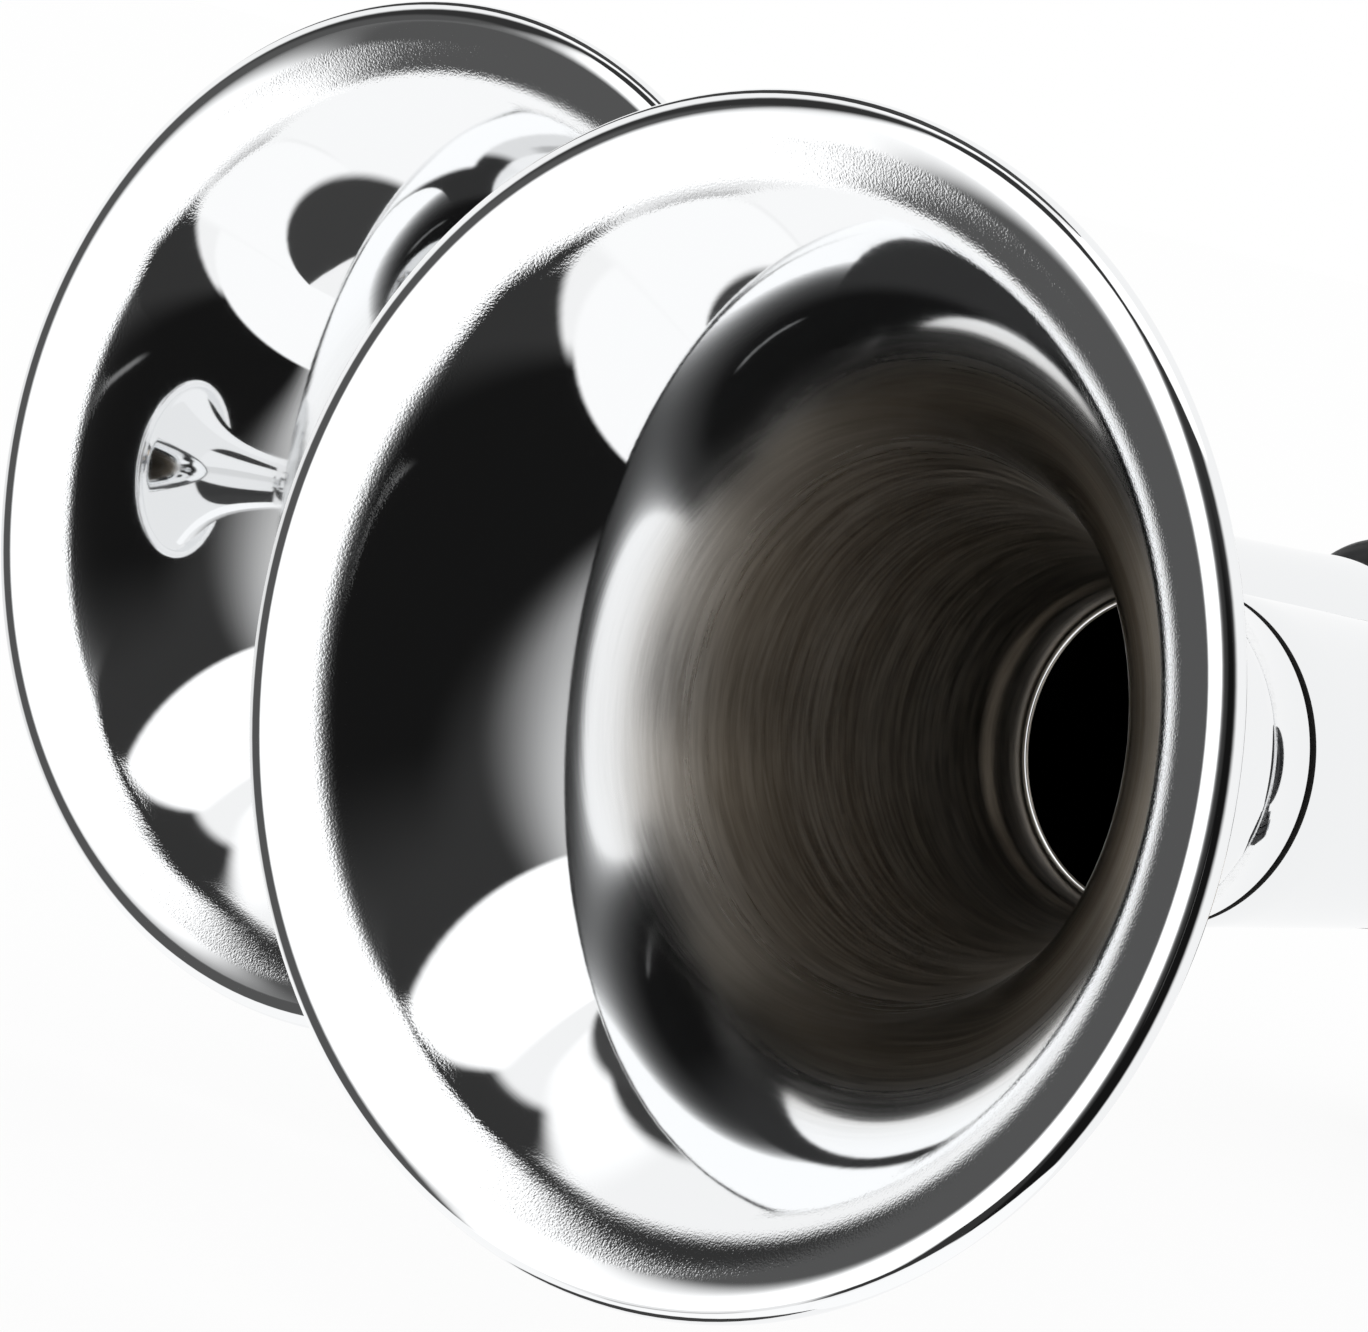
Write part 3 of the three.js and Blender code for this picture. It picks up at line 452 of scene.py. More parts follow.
@dataclass(frozen=True)
class PolishedChrome:
    """Nickel-chrome plate over buffed steel: a clear mirror with hair-fine buffing lines."""

    name: str = "buffed_chrome_plate"
    colour: str = "#F0F1F2"
    roughness: float = 0.035
    buffing_mm: float = 0.25

    def material(self) -> Material:
        """Builds the finish and returns its material."""
        material, shader, add = new_finish(self.name)
        place = add("TexCoord").outputs["Object"]
        # Buffing marks run along the mop's travel, so they are drawn ten times longer than wide.
        stretched = add("Mapping", {"Vector": place, "Scale": (1, 0.1, 1)})
        fineness = 1 / (self.buffing_mm * MM)
        marks = add("TexNoise", {"Vector": stretched, "Scale": fineness, "Detail": 2.0})
        dullest = self.roughness * 1.6
        gloss = {"From Min": 0.3, "From Max": 0.7, "To Min": self.roughness * 0.7, "To Max": dullest}
        rough = add("MapRange", {"Value": marks, **gloss})
        bump = add("Bump", {"Height": marks, "Strength": 0.02, "Distance": 0.02 * MM})
        feed(shader, {"Base Color": linear(self.colour), "Metallic": 1.0, "Roughness": rough, "Normal": bump})
        return material


@dataclass(frozen=True)
class SpunChrome:
    """The same plate inside a bell: mirror bright at the lip, satin from the spinning tool in the throat,
    where its colour is also darkened and browned as painted shade.
    """

    name: str
    axis: Place
    lip_colour: str = "#F2F3F4"
    # The throat colour is darker than the plate itself: it paints the shade deep in the bell.
    shaded_throat_colour: str = "#A69F95"
    lip_roughness: float = 0.03
    throat_roughness: float = 0.34
    satin_and_shade_from_mm: float = 14.0
    satin_and_shade_to_mm: float = 31.0
    groove_mm: float = 0.5
    groove_relief_mm: float = 0.02
    patch_mm: float = 4.5
    circle_mm: float = 1.2
    pit_mm: float = 0.2
    pit_relief_mm: float = 0.03
    pit_strength: float = 0.6
    pitted_mm: tuple[float, float, float, float] = (40.5, 43.0, 45.6, 46.6)

    def material(self) -> Material:
        """Builds the finish round the bell's own axis and returns its material."""
        material, shader, add = new_finish(self.name)
        place = add("TexCoord").outputs["Object"]
        from_axis = add("Mapping", {"Vector": place, "Location": [-value * MM for value in self.axis]})
        deep = add("SeparateXYZ", {0: from_axis}).outputs["Y"]
        across = add("Mapping", {"Vector": from_axis, "Scale": (1, 0, 1)})
        radius = add("VectorMath", {0: across}, operation="LENGTH").outputs["Value"]
        # The same depth share sets the real satin roughness and the painted shade of the throat.
        reach = {"From Min": self.satin_and_shade_from_mm * MM, "From Max": self.satin_and_shade_to_mm * MM}
        satin = add("MapRange", {"Value": deep, **reach}, interpolation_type="SMOOTHSTEP")
        # The unit circle, drawn small, and the true depth: noise there makes marks that run round the bell.
        circle = add("VectorMath", {0: across}, operation="NORMALIZE")
        ringed_place = add("VectorMath", {0: circle, 3: self.circle_mm * MM}, operation="SCALE")
        depth = add("CombineXYZ", {"Y": deep})
        round_marks = add("VectorMath", {0: ringed_place, 1: depth}, operation="ADD")
        groove = {"Scale": 1 / (self.groove_mm * MM), "Detail": 3.0, "Roughness": 0.6}
        grooves = add("TexNoise", {"Vector": round_marks, **groove})
        patches = add("TexNoise", {"Vector": round_marks, "Scale": 1 / (self.patch_mm * MM), "Detail": 2.0})
        # The colour darkens with depth towards the throat colour: painted shade of the deep bell, broken up
        # by random clouds.
        cloud = {"From Min": 0.3, "From Max": 0.7, "To Min": 0.88, "To Max": 1.06}
        tint = add("MapRange", {"Value": patches, **cloud})
        throat_shade = add("Math", {0: satin, 1: tint}, operation="MULTIPLY", use_clamp=True)
        colours = {0: throat_shade, 6: linear(self.lip_colour), 7: linear(self.shaded_throat_colour)}
        colour = add("Mix", colours, data_type="RGBA").outputs[2]
        # Each tool mark is a shade lighter or darker than the next; on the mirror-bright lip none shows.
        middle = {"Value": grooves, "From Min": 0.35, "From Max": 0.65}
        ring_shade = add("MapRange", {**middle, "To Min": 0.82, "To Max": 1.15})
        ring_share = add("Mix", {0: satin, 2: 1.0, 3: ring_shade}).outputs[0]
        shaded = add("VectorMath", {0: colour, 3: ring_share}, operation="SCALE")
        lengthwise = add("CombineXYZ", {"Y": 1.0})
        worn = add("MapRange", {**middle, "To Min": 0.85, "To Max": 1.15})
        dull = {"To Min": self.lip_roughness, "To Max": self.throat_roughness}
        rough = add("MapRange", {"Value": satin, **dull})
        rough = add("Math", {0: rough, 1: worn}, operation="MULTIPLY")
        marks = add("MapRange", {"Value": satin, "To Min": 0.02, "To Max": 0.5})
        relief = {"Height": grooves, "Strength": marks, "Distance": self.groove_relief_mm * MM}
        spun_bump = add("Bump", relief)
        # The lip keeps the tool's fine pits, some 0.1 mm wide and drawn twice coarser to show.
        pits = add("TexNoise", {"Vector": place, "Scale": 1 / (self.pit_mm * MM), "Detail": 2.0})
        on_lip = self.pit_strength
        for start, end in (self.pitted_mm[:2], self.pitted_mm[:1:-1]):
            limits = {"From Min": start * MM, "From Max": end * MM}
            reached = add("MapRange", {"Value": radius, **limits}, interpolation_type="SMOOTHSTEP")
            on_lip = add("Math", {0: reached, 1: on_lip}, operation="MULTIPLY")
        pitting = {"Height": pits, "Strength": on_lip, "Distance": self.pit_relief_mm * MM}
        lip_bump = add("Bump", {**pitting, "Normal": spun_bump})
        feed(shader, {"Base Color": shaded.outputs["Vector"], "Metallic": 1.0, "Anisotropic": 0.55})
        feed(shader, {"Tangent": lengthwise, "Roughness": rough, "Normal": lip_bump})
        return material


@dataclass(frozen=True)
class GrainedFinish:
    """A finish with a fine grain and broad patches, each of which shifts its tone, its gloss and its relief.

    The sizes are real ones in millimetres; a grain under 0.3 mm would not show and is drawn that coarse.
    """

    name: str
    colour: str
    patch_colour: str
    metallic: float
    gloss: Point
    grain_mm: float
    patch_mm: float
    relief_mm: float
    stretch: Place = (1, 1, 1)
    ior: float = 1.5
    coat: float = 0.0
    finest_mm: float = 0.3

    def material(self) -> Material:
        """Builds the finish and returns its material."""
        material, shader, add = new_finish(self.name)
        if not self.metallic:
            feed(shader, {"IOR": self.ior, "Coat Weight": self.coat, "Coat Roughness": 0.2})
        place = add("TexCoord").outputs["Object"]
        along = add("Mapping", {"Vector": place, "Scale": self.stretch})
        grain_scale = 1 / (max(self.grain_mm, self.finest_mm) * MM)
        grain = add("TexNoise", {"Vector": along, "Scale": grain_scale, "Detail": 3.0})
        patches = add("TexNoise", {"Vector": place, "Scale": 1 / (self.patch_mm * MM), "Detail": 4.0})
        both = add("Math", {0: grain, 1: 0.4, 2: patches}, operation="MULTIPLY_ADD")
        middle = {"Value": both, "From Min": 0.45, "From Max": 0.95}
        colours = {0: add("MapRange", middle), 6: linear(self.colour), 7: linear(self.patch_colour)}
        colour = add("Mix", colours, data_type="RGBA").outputs[2]
        rough = add("MapRange", {**middle, "To Min": self.gloss[0], "To Max": self.gloss[1]})
        bump = add("Bump", {"Height": grain, "Strength": 0.6, "Distance": self.relief_mm * MM})
        swell = {"Height": patches, "Strength": 0.4, "Distance": self.relief_mm * 3 * MM, "Normal": bump}
        waved = add("Bump", swell)
        feed(shader, {"Base Color": colour, "Metallic": self.metallic, "Roughness": rough, "Normal": waved})
        return material


class Finish(Enum):
    """The finishes that aren't chrome, each with its real name."""

    # Baked satin enamel: black, softly glossy, with a faint orange peel over the cast skin's pebbles.
    ENAMEL = GrainedFinish(
        "satin_black_enamel", "#1D1E20", "#28292B", 0, (0.3, 0.46), 0.7, 3.0, 0.035, coat=0.25
    )
    # Glass-filled nylon, moulded in a spark-eroded tool: an even, dry, finely stippled black.
    NYLON = GrainedFinish(
        "moulded_black_nylon", "#18191A", "#222324", 0, (0.4, 0.55), 0.15, 5.0, 0.012, ior=1.53
    )
    # Coil resin cast over the winding: darker and smoother than nylon, with pale flow clouds.
    RESIN = GrainedFinish(
        "moulded_coil_resin", "#1B1D20", "#2B2D30", 0, (0.32, 0.5), 0.2, 7.0, 0.01, ior=1.55, coat=0.1
    )
    # Nitrile rubber: matt, with the grey bloom that sulphur leaves.
    RUBBER = GrainedFinish("nitrile_rubber", "#1C1C1D", "#2E2E2E", 0, (0.7, 0.88), 0.2, 2.0, 0.012, ior=1.52)
    # Clear zinc plate on rolled steel: bluish grey, half bright, clouded where the bath ran off.
    ZINC = GrainedFinish("clear_zinc_plate", "#B7BBC1", "#9A9FA6", 1, (0.18, 0.36), 0.25, 2.5, 0.006)
    # Centreless-ground stainless steel: bright, with fine marks round the bar.
    STAINLESS = GrainedFinish(
        "ground_stainless", "#C3C4C5", "#ABACAE", 1, (0.16, 0.3), 0.1, 4.0, 0.004, (0.2, 0.2, 3)
    )
    # Drawn spring wire: greyer and duller, with marks along the wire.
    WIRE = GrainedFinish(
        "drawn_spring_wire", "#8F9297", "#6E7176", 1, (0.28, 0.42), 0.1, 1.0, 0.003, (0.3, 0.3, 2)
    )
    # Hard-rolled spring steel sheet, as a diaphragm is: blue-grey with straight rolling lines.
    SHEET = GrainedFinish(
        "rolled_spring_steel", "#9AA0A8", "#868C95", 1, (0.2, 0.34), 0.15, 6.0, 0.003, (0.1, 1, 3)
    )
    # Free-cutting brass off the lathe, going dull where fingers touched it.
    BRASS = GrainedFinish("turned_brass", "#C9A55E", "#A98646", 1, (0.2, 0.38), 0.2, 3.5, 0.006, (1, 0.4, 2))
    # The bare groove of the joint: unplated steel, dark with polishing compound.
    # Painted shade in the joint's groove: a flat near-black finish that stands in for the shadow between bell
    # and barrel.
    JOINT = GrainedFinish("painted_joint_shade", "#141312", "#1F1D1B", 0, (0.6, 0.8), 0.3, 1.0, 0.01)


# Trumpets


@dataclass(frozen=True)
class Bell:
    """A bell spun from sheet, with one smooth roll from the lip round the rim, and a short neck."""

    rim_half_width: float = 1.96
    rim_half_depth: float = 1.53
    rim_centre: Point = (48.04, 0.217)
    lip_round: float = 10.6
    lip_centre: Point = (48.44, 9.276)
    lip_slope: float = 87.0
    flare_slope: float = 49.1
    neck_slope: float = 9.65
    front_handle: float = 21.3
    rear_handle: float = 27.1
    step: Point = (15.3, 57.5)
    shoulder: float = 2.1
    sheet: float = 0.6
    neck_radius: float = NECK_RADIUS
    neck_end: float = 64.3
    facets: int = 192
    flare_steps: int = 56
    shoulder_steps: int = 12

    def flare(self) -> list[tuple[Point, Point]]:
        """Gives points of the inner flare from lip to neck, each with the direction of the curve there."""
        slope, neck = math.radians(self.flare_slope), math.radians(self.neck_slope)
        start = Vector(arc(self.lip_centre, (self.lip_round,) * 2, 180 + self.flare_slope, 270, 1)[0])
        end = Vector(self.step)
        first = start + self.front_handle * Vector((-math.sin(slope), math.cos(slope)))
        second = end - self.rear_handle * Vector((-math.sin(neck), math.cos(neck)))
        curve = []
        for i in range(self.flare_steps + 1):
            t = i / self.flare_steps
            s = 1 - t
            at = s**3 * start + 3 * s * s * t * first + 3 * s * t * t * second + t**3 * end
            way = s * s * (first - start) + 2 * s * t * (second - first) + t * t * (end - second)
            way.normalize()
            curve.append(((at.x, at.y), (way.x, way.y)))
        return curve

    def outline(self) -> list[Point]:
        """Gives the section of the sheet, out along the back and home along the front."""
        curve = self.flare()
        inner = [at for at, _ in curve]
        outer = [(at[0] + self.sheet * way[1], at[1] - self.sheet * way[0]) for at, way in curve]
        bore = self.neck_radius - self.sheet
        neck = [
            (self.neck_radius + 0.35, self.step[1] + 0.7),
            (self.neck_radius, self.neck_end - 0.2),
            (self.neck_radius - 0.2, self.neck_end),
            (bore, self.neck_end),
        ]
        for i in range(self.shoulder_steps, 0, -1):
            share = i / self.shoulder_steps
            down = share * share * (3 - 2 * share)
            neck.append((self.step[0] + (bore - self.step[0]) * down, self.step[1] + self.shoulder * share))
        front = arc(self.lip_centre, (self.lip_round,) * 2, 180 + self.flare_slope, 180 + self.lip_slope, 30)
        rim = arc(self.rim_centre, (self.rim_half_width, self.rim_half_depth), -93.8, 135, 34)
        back_round = self.lip_round - self.sheet
        back = arc(self.lip_centre, (back_round,) * 2, 255, 180 + self.flare_slope, 18)
        return [*outer, *neck, *inner[::-1], *front[1:], *rim[1:], *back[:-1]]

    def build(self) -> Piece:
        """Spins the bell with its rim at the origin, its front faces numbered 1 and its back faces 0."""
        piece = spun(self.outline(), self.facets)
        for face in piece.data.polygons:
            face.material_index = 1 if outward(face) < 0 or face.normal.y < 0 else 0
        return piece


@dataclass(frozen=True)
class Barrel:
    """A tapered tube that plugs into the bell's neck in front and into the chamber behind."""

    reach: float
    neck_radius: float = NECK_RADIUS
    joint: float = 65.2
    spigot: float = 14.45
    spigot_front: float = 63.0
    wall: float = 0.8
    tail_radius: float = 9.2
    tail_depth: float = 30.0
    shoulder_length: float = 12.0
    shoulder_drop: float = 1.2
    taper_bend: float = 1.5
    taper_steps: int = 24
    end_round: float = 0.37
    facets: int = 160

    def outline(self) -> list[Point]:
        """Gives the tube's section, back along its outside and home along its bore."""
        shoulder = self.reach - self.shoulder_length
        end = self.tail_radius + self.shoulder_drop
        taper = []
        for i in range(self.taper_steps + 1):
            share = i / self.taper_steps
            radius = end + (self.neck_radius - end) * (1 - share) ** self.taper_bend
            taper.append((radius, self.joint + (shoulder - self.joint) * share))
        rounding = arc((self.tail_radius, shoulder), (self.shoulder_drop, self.shoulder_length), 0, 90, 12)
        bore = [(radius - self.wall, depth) for radius, depth in taper[1:]]
        curl, front = self.spigot - self.end_round, self.spigot_front + self.end_round
        return [
            (self.spigot, front),
            (self.spigot, self.joint),
            (self.neck_radius - 0.25, self.joint),
            (taper[0][0] - 0.06, taper[0][1] + 0.06),
            (taper[0][0], taper[0][1] + 0.25),
            *taper[1:],
            *rounding[1:],
            (self.tail_radius, self.reach + self.tail_depth),
            (self.tail_radius - self.wall, self.reach + self.tail_depth),
            *bore[::-1],
            (curl - self.end_round, self.joint + 1.6),
            (curl - self.end_round, front),
            *arc((curl, front), (self.end_round,) * 2, -180, 0, 10)[1:-1],
        ]

    def build(self) -> Piece:
        """Spins the barrel with the bell's rim plane at the origin, the joint's groove numbered 1 for its
        painted shade.
        """
        piece = spun(self.outline(), self.facets)
        for face in piece.data.polygons:
            # Faces in the groove get the joint's near-black painted shade.
            in_groove = self.spigot_front + 0.8 < face.center.y / MM < self.joint + 0.05
            face.material_index = 1 if in_groove and (outward(face) > 0 or face.normal.y < -0.9) else 0
        return piece


@dataclass(frozen=True)
class Trumpet:
    """One trumpet on its own axis: bell and barrel."""

    name: str
    side: int
    reach: float

    @property
    def rim(self) -> Place:
        """The middle of the rim plane."""
        return (self.side * SPACING / 2, -SETBACK - self.reach, HEIGHT)

    def build(self, bell: Piece, chrome: Material, groove_shade: Material) -> None:
        """Places a bell and builds its barrel, and dresses both.

        Args:
            bell: a spun bell with its rim at the origin, used up by this.
            chrome: the finish of the outside and of the barrel.
            groove_shade: the near-black finish that paints the shade in the groove at the joint.
        """
        inside = SpunChrome(f"spun_chrome_plate_{self.name}", self.rim).material()
        dressed(
            placed(bell, self.rim),
            f"{self.name}_spun_bell",
            [f"{self.name}_bell"],
            "polished_chrome",
            [chrome, inside],
            smooth=40,
        )
        dressed(
            placed(Barrel(self.reach).build(), self.rim),
            f"{self.name}_tapered_barrel",
            [f"{self.name}_barrel"],
            "polished_chrome",
            [chrome, groove_shade],
        )


# Rear of each horn


@dataclass(frozen=True)
class UnionNut:
    """A moulded nut with grip flutes that squeezes the throat seal on the barrel."""

    radius: float = 13.25
    length: float = 18.0
    bore: float = 9.4
    thread: float = 11.8
    lip: float = 4.5
    rounding: float = 2.2
    flute_radius: float = 1.4
    flute_sink: float = 0.6
    flute_start: float = 7.0
    flutes: int = 12

    def build(self) -> Piece:
        """Spins the shell round +Y with its mouth at the origin and cuts the flutes."""
        mouth = arc((self.radius - self.rounding, self.rounding), (self.rounding,) * 2, -90, 0, 12)
        outline = [
            (self.bore, 1.1),
            (self.bore + 0.3, 0.35),
            (self.bore + 0.9, 0.0),
            *mouth,
            *arc((self.radius - 0.4, self.length - 0.4), (0.4, 0.4), 0, 90, 4),
            (self.thread, self.length),
            (self.thread, self.lip),
            (self.bore, self.lip),
        ]
        piece = spun(outline, 120)
        round_end = arc((0, self.flute_start + self.flute_radius), (self.flute_radius,) * 2, -90, 0, 6)
        cutter = spun([*round_end, (self.flute_radius, self.length + 1), (0, self.length + 1)], 24)
        circle = self.radius + self.flute_radius - self.flute_sink
        worked(piece, Join.CUT, *ringed(cutter, self.flutes, circle))
        return piece


@dataclass(frozen=True)
class SoundChamber:
    """The casting behind the nut: spout, flare, round disc with the diaphragm's seat, web and foot."""

    thread: float = 11.6
    thread_start: float = 8.1
    spout: float = 13.25
    spout_start: float = 18.3
    spout_end: float = 50.0
    flare_length: float = 10.0
    disc: float = 32.0
    disc_edge: float = 1.5
    back: float = 74.0
    socket: Point = (9.4, 30.3)
    bore: float = 8.4
    seat: Point = (6.5, 71.95)
    seat_outside: float = 9.0
    groove: Point = (22.5, 62.5)
    recess: Point = (26.0, 70.75)
    foot_low: Place = (-15, 44, -46.7)
    foot_high: Place = (15, 78, -39.7)
    web_low: Place = (-5, 42, -40.7)
    web_high: Place = (5, 61.5, -11.05)
    boss_low: Place = (-6, 60, -40.7)
    boss_high: Place = (6, 74, -29)
    port: float = 2.5
    port_at: float = 66.0
    bolt_at: Point = (BOLT_AT[0], SETBACK + BOLT_AT[1])
    screw_floor: float = 66.0

    def outline(self) -> list[Point]:
        """Gives the casting's turned section, back along its outside and home through its bore."""
        flare_centre = (self.disc - self.disc_edge, self.spout_end)
        flare = arc(flare_centre, (self.spout - flare_centre[0], self.flare_length), 0, 90, 18)
        rim_centre = (flare_centre[0], self.spout_end + self.flare_length + self.disc_edge)
        return [
            (self.thread - 0.5, self.thread_start),
            (self.thread, self.thread_start + 0.5),
            (self.thread, self.spout_start),
            (self.spout - 0.4, self.spout_start),
            (self.spout, self.spout_start + 0.4),
            *flare,
            *arc(rim_centre, (self.disc_edge,) * 2, -90, 0, 6)[1:],
            (self.disc, self.back - 0.3),
            (self.disc - 0.3, self.back),
            (self.recess[0] + 0.3, self.back),
            (self.recess[0], self.back - 0.3),
            self.recess,
            (self.groove[0], self.recess[1]),
            self.groove,
            (self.seat_outside, self.groove[1]),
            (self.seat_outside, self.seat[1] - 0.4),
            (self.seat_outside - 0.4, self.seat[1]),
            (self.seat[0] + 0.3, self.seat[1]),
            (self.seat[0], self.seat[1] - 0.3),
            (self.bore, self.socket[1]),
            self.socket,
            (self.socket[0], self.thread_start),
        ]

    def build(self) -> Piece:
        """Spins the casting round +Y with the nut's mouth at the origin, adds its foot and drills it."""
        piece = spun(self.outline(), 144)
        low, top = self.foot_low[2] - 1, self.foot_high[2]
        foot = block(self.foot_low, self.foot_high, 5, 1.2)
        web = block(self.web_low, self.web_high, 2)
        boss = block(self.boss_low, self.boss_high, 1)
        worked(piece, Join.ADD, worked(foot, Join.ADD, web, boss))
        port = bored((0, self.port_at), self.port, low, self.port - self.groove[0])
        holes = [
            bored((side * self.bolt_at[0], self.bolt_at[1]), BOLT_HOLE, low, top + 1, widened=0.4, at=top)
            for side in (-1, 1)
        ]
        screw_hole = rod(SCREW_HOLE, self.screw_floor, self.back + 1)
        return worked(piece, Join.CUT, port, *holes, *cover_ring(screw_hole))


@dataclass(frozen=True)
class RearCover:
    """The cover that closes the chamber, with a crown, a boss and six radial ribs."""

    front: float = 74.3
    shelf: float = 78.3
    radius: float = 32.0
    inside: float = 22.5
    crown: float = 25.0
    crown_top: float = 17.0
    top: float = 84.3
    wall: float = 2.4
    boss: float = 6.5
    boss_top: float = 86.3
    rib_low: Place = (0, 79.7, -1.1)
    rib_high: Place = (19.4, 85.7, 1.1)
    ribs: int = 6

    def build(self) -> Piece:
        """Spins the cover round +Y, joins its ribs and drills it for its screws."""
        slope = (self.crown - self.crown_top, self.top - self.shelf)
        outline = [
            (0, self.top - self.wall),
            (self.crown_top - self.wall, self.top - self.wall),
            (self.inside, self.shelf),
            (self.inside, self.front),
            (self.radius - 0.3, self.front),
            (self.radius, self.front + 0.3),
            *arc((self.radius - 0.75, self.shelf - 0.75), (0.75, 0.75), 0, 90, 5),
            *arc((self.crown + 0.8, self.shelf + 0.8), (0.8, 0.8), 270, 200, 5),
            *arc((self.crown_top, self.shelf), slope, 14, 90, 14),
            *arc((self.boss + 0.6, self.top + 0.6), (0.6, 0.6), 270, 190, 4),
            *arc((self.boss - 1.5, self.boss_top - 1.0), (1.3, 1.0), 0, 90, 5),
            (0, self.boss_top),
        ]
        piece = spun(outline, 144)
        rib = block(self.rib_low, self.rib_high, 1.4, 0.4)
        worked(piece, Join.ADD, *ringed(rib, self.ribs, 0))
        screw_hole = rod(SCREW_HOLE, self.front - 1, self.shelf + 1)
        return worked(piece, Join.CUT, *cover_ring(screw_hole))


@dataclass(frozen=True)
class PanScrew:
    """A pan-head screw with a cross recess, its tip first along +Y."""

    shank: float
    head: float
    tip: float
    seat: float
    top: float

    def build(self) -> Piece:
        """Spins the screw and cuts its cross."""
        rise = self.top - self.seat
        outline = [
            (0, self.tip),
            (self.shank - 0.4, self.tip),
            (self.shank, self.tip + 0.5),
            (self.shank, self.seat),
            (self.head - 0.1, self.seat),
            (self.head, self.seat + 0.15),
            *arc((self.head * 0.45, self.seat + rise * 0.35), (self.head * 0.55, rise * 0.65), 0, 90, 8),
            (0, self.top),
        ]
        piece = spun(outline, 48)
        long, thin, sink = self.head * 0.55, self.head * 0.13, rise * 0.5
        for half_x, half_z in ((long, thin), (thin, long)):
            slot = block((-half_x, self.top - sink, -half_z), (half_x, self.top + 1, half_z))
            worked(piece, Join.CUT, slot)
        return piece


@dataclass(frozen=True)
class HexBolt:
    """A bolt with a chamfered hexagon head on a washer face, its tip first along +Y."""

    shank: float = 2.4
    head: float = 4.0
    tip: float = 4.0
    seat: float = 20.5
    top: float = 23.9

    def build(self) -> Piece:
        """Joins the head to the shank."""
        face = rod(self.head * 0.84, self.seat, self.seat + 0.3)
        shank = rod(self.shank, self.tip, self.seat + 1)
        return worked(hexagon(self.head, self.seat + 0.25, self.top), Join.ADD, face, shank)


@dataclass(frozen=True)
class HornRear:
    """Everything behind one barrel, modelled round the origin and set on both trumpets' axes."""

    screw: PanScrew = PanScrew(shank=1.5, head=2.5, tip=66.3, seat=78.5, top=80.5)
    bolt: HexBolt = HexBolt()

    def build(self, enamel: Material, nylon: Material, zinc: Material) -> None:
        """Models each piece once, copies it to both horns and dresses the copies.

        Args:
            enamel: the finish of the castings.
            nylon: the finish of the union nuts.
            zinc: the finish of screws and bolts.
        """
        screws = cover_ring(self.screw.build())
        bolt = stood(self.bolt.build())
        pieces = [
            (UnionNut().build(), "fluted_nut", "union_nut", "black_nylon", nylon),
            (SoundChamber().build(), "cast_chamber", "sound_chamber", "black_casting", enamel),
            (RearCover().build(), "ribbed_cover", "rear_cover", "black_casting", enamel),
        ]
        for i, screw in enumerate(screws, 1):
            pieces.append((screw, f"pan_screw_{i}", f"cover_screw_{i}", "steel", zinc))
        for name, side in (("low", 1), ("high", -1)):
            axis = (side * SPACING / 2, -SETBACK, HEIGHT)
            for piece, label, node, slot, finish in pieces:
                own = placed(twin(piece), axis)
                dressed(own, f"{name}_{label}", [f"{name}_{node}"], slot, [finish])
            for i, x in enumerate((-BOLT_AT[0], BOLT_AT[0]), 1):
                own = placed(twin(bolt), (axis[0] + x, BOLT_AT[1], 0))
                dressed(own, f"{name}_hex_bolt_{i}", [f"{name}_foot_bolt_{i}"], "steel", [zinc])
        for piece in (bolt, *(entry[0] for entry in pieces)):
            bpy.data.objects.remove(piece)


# Base


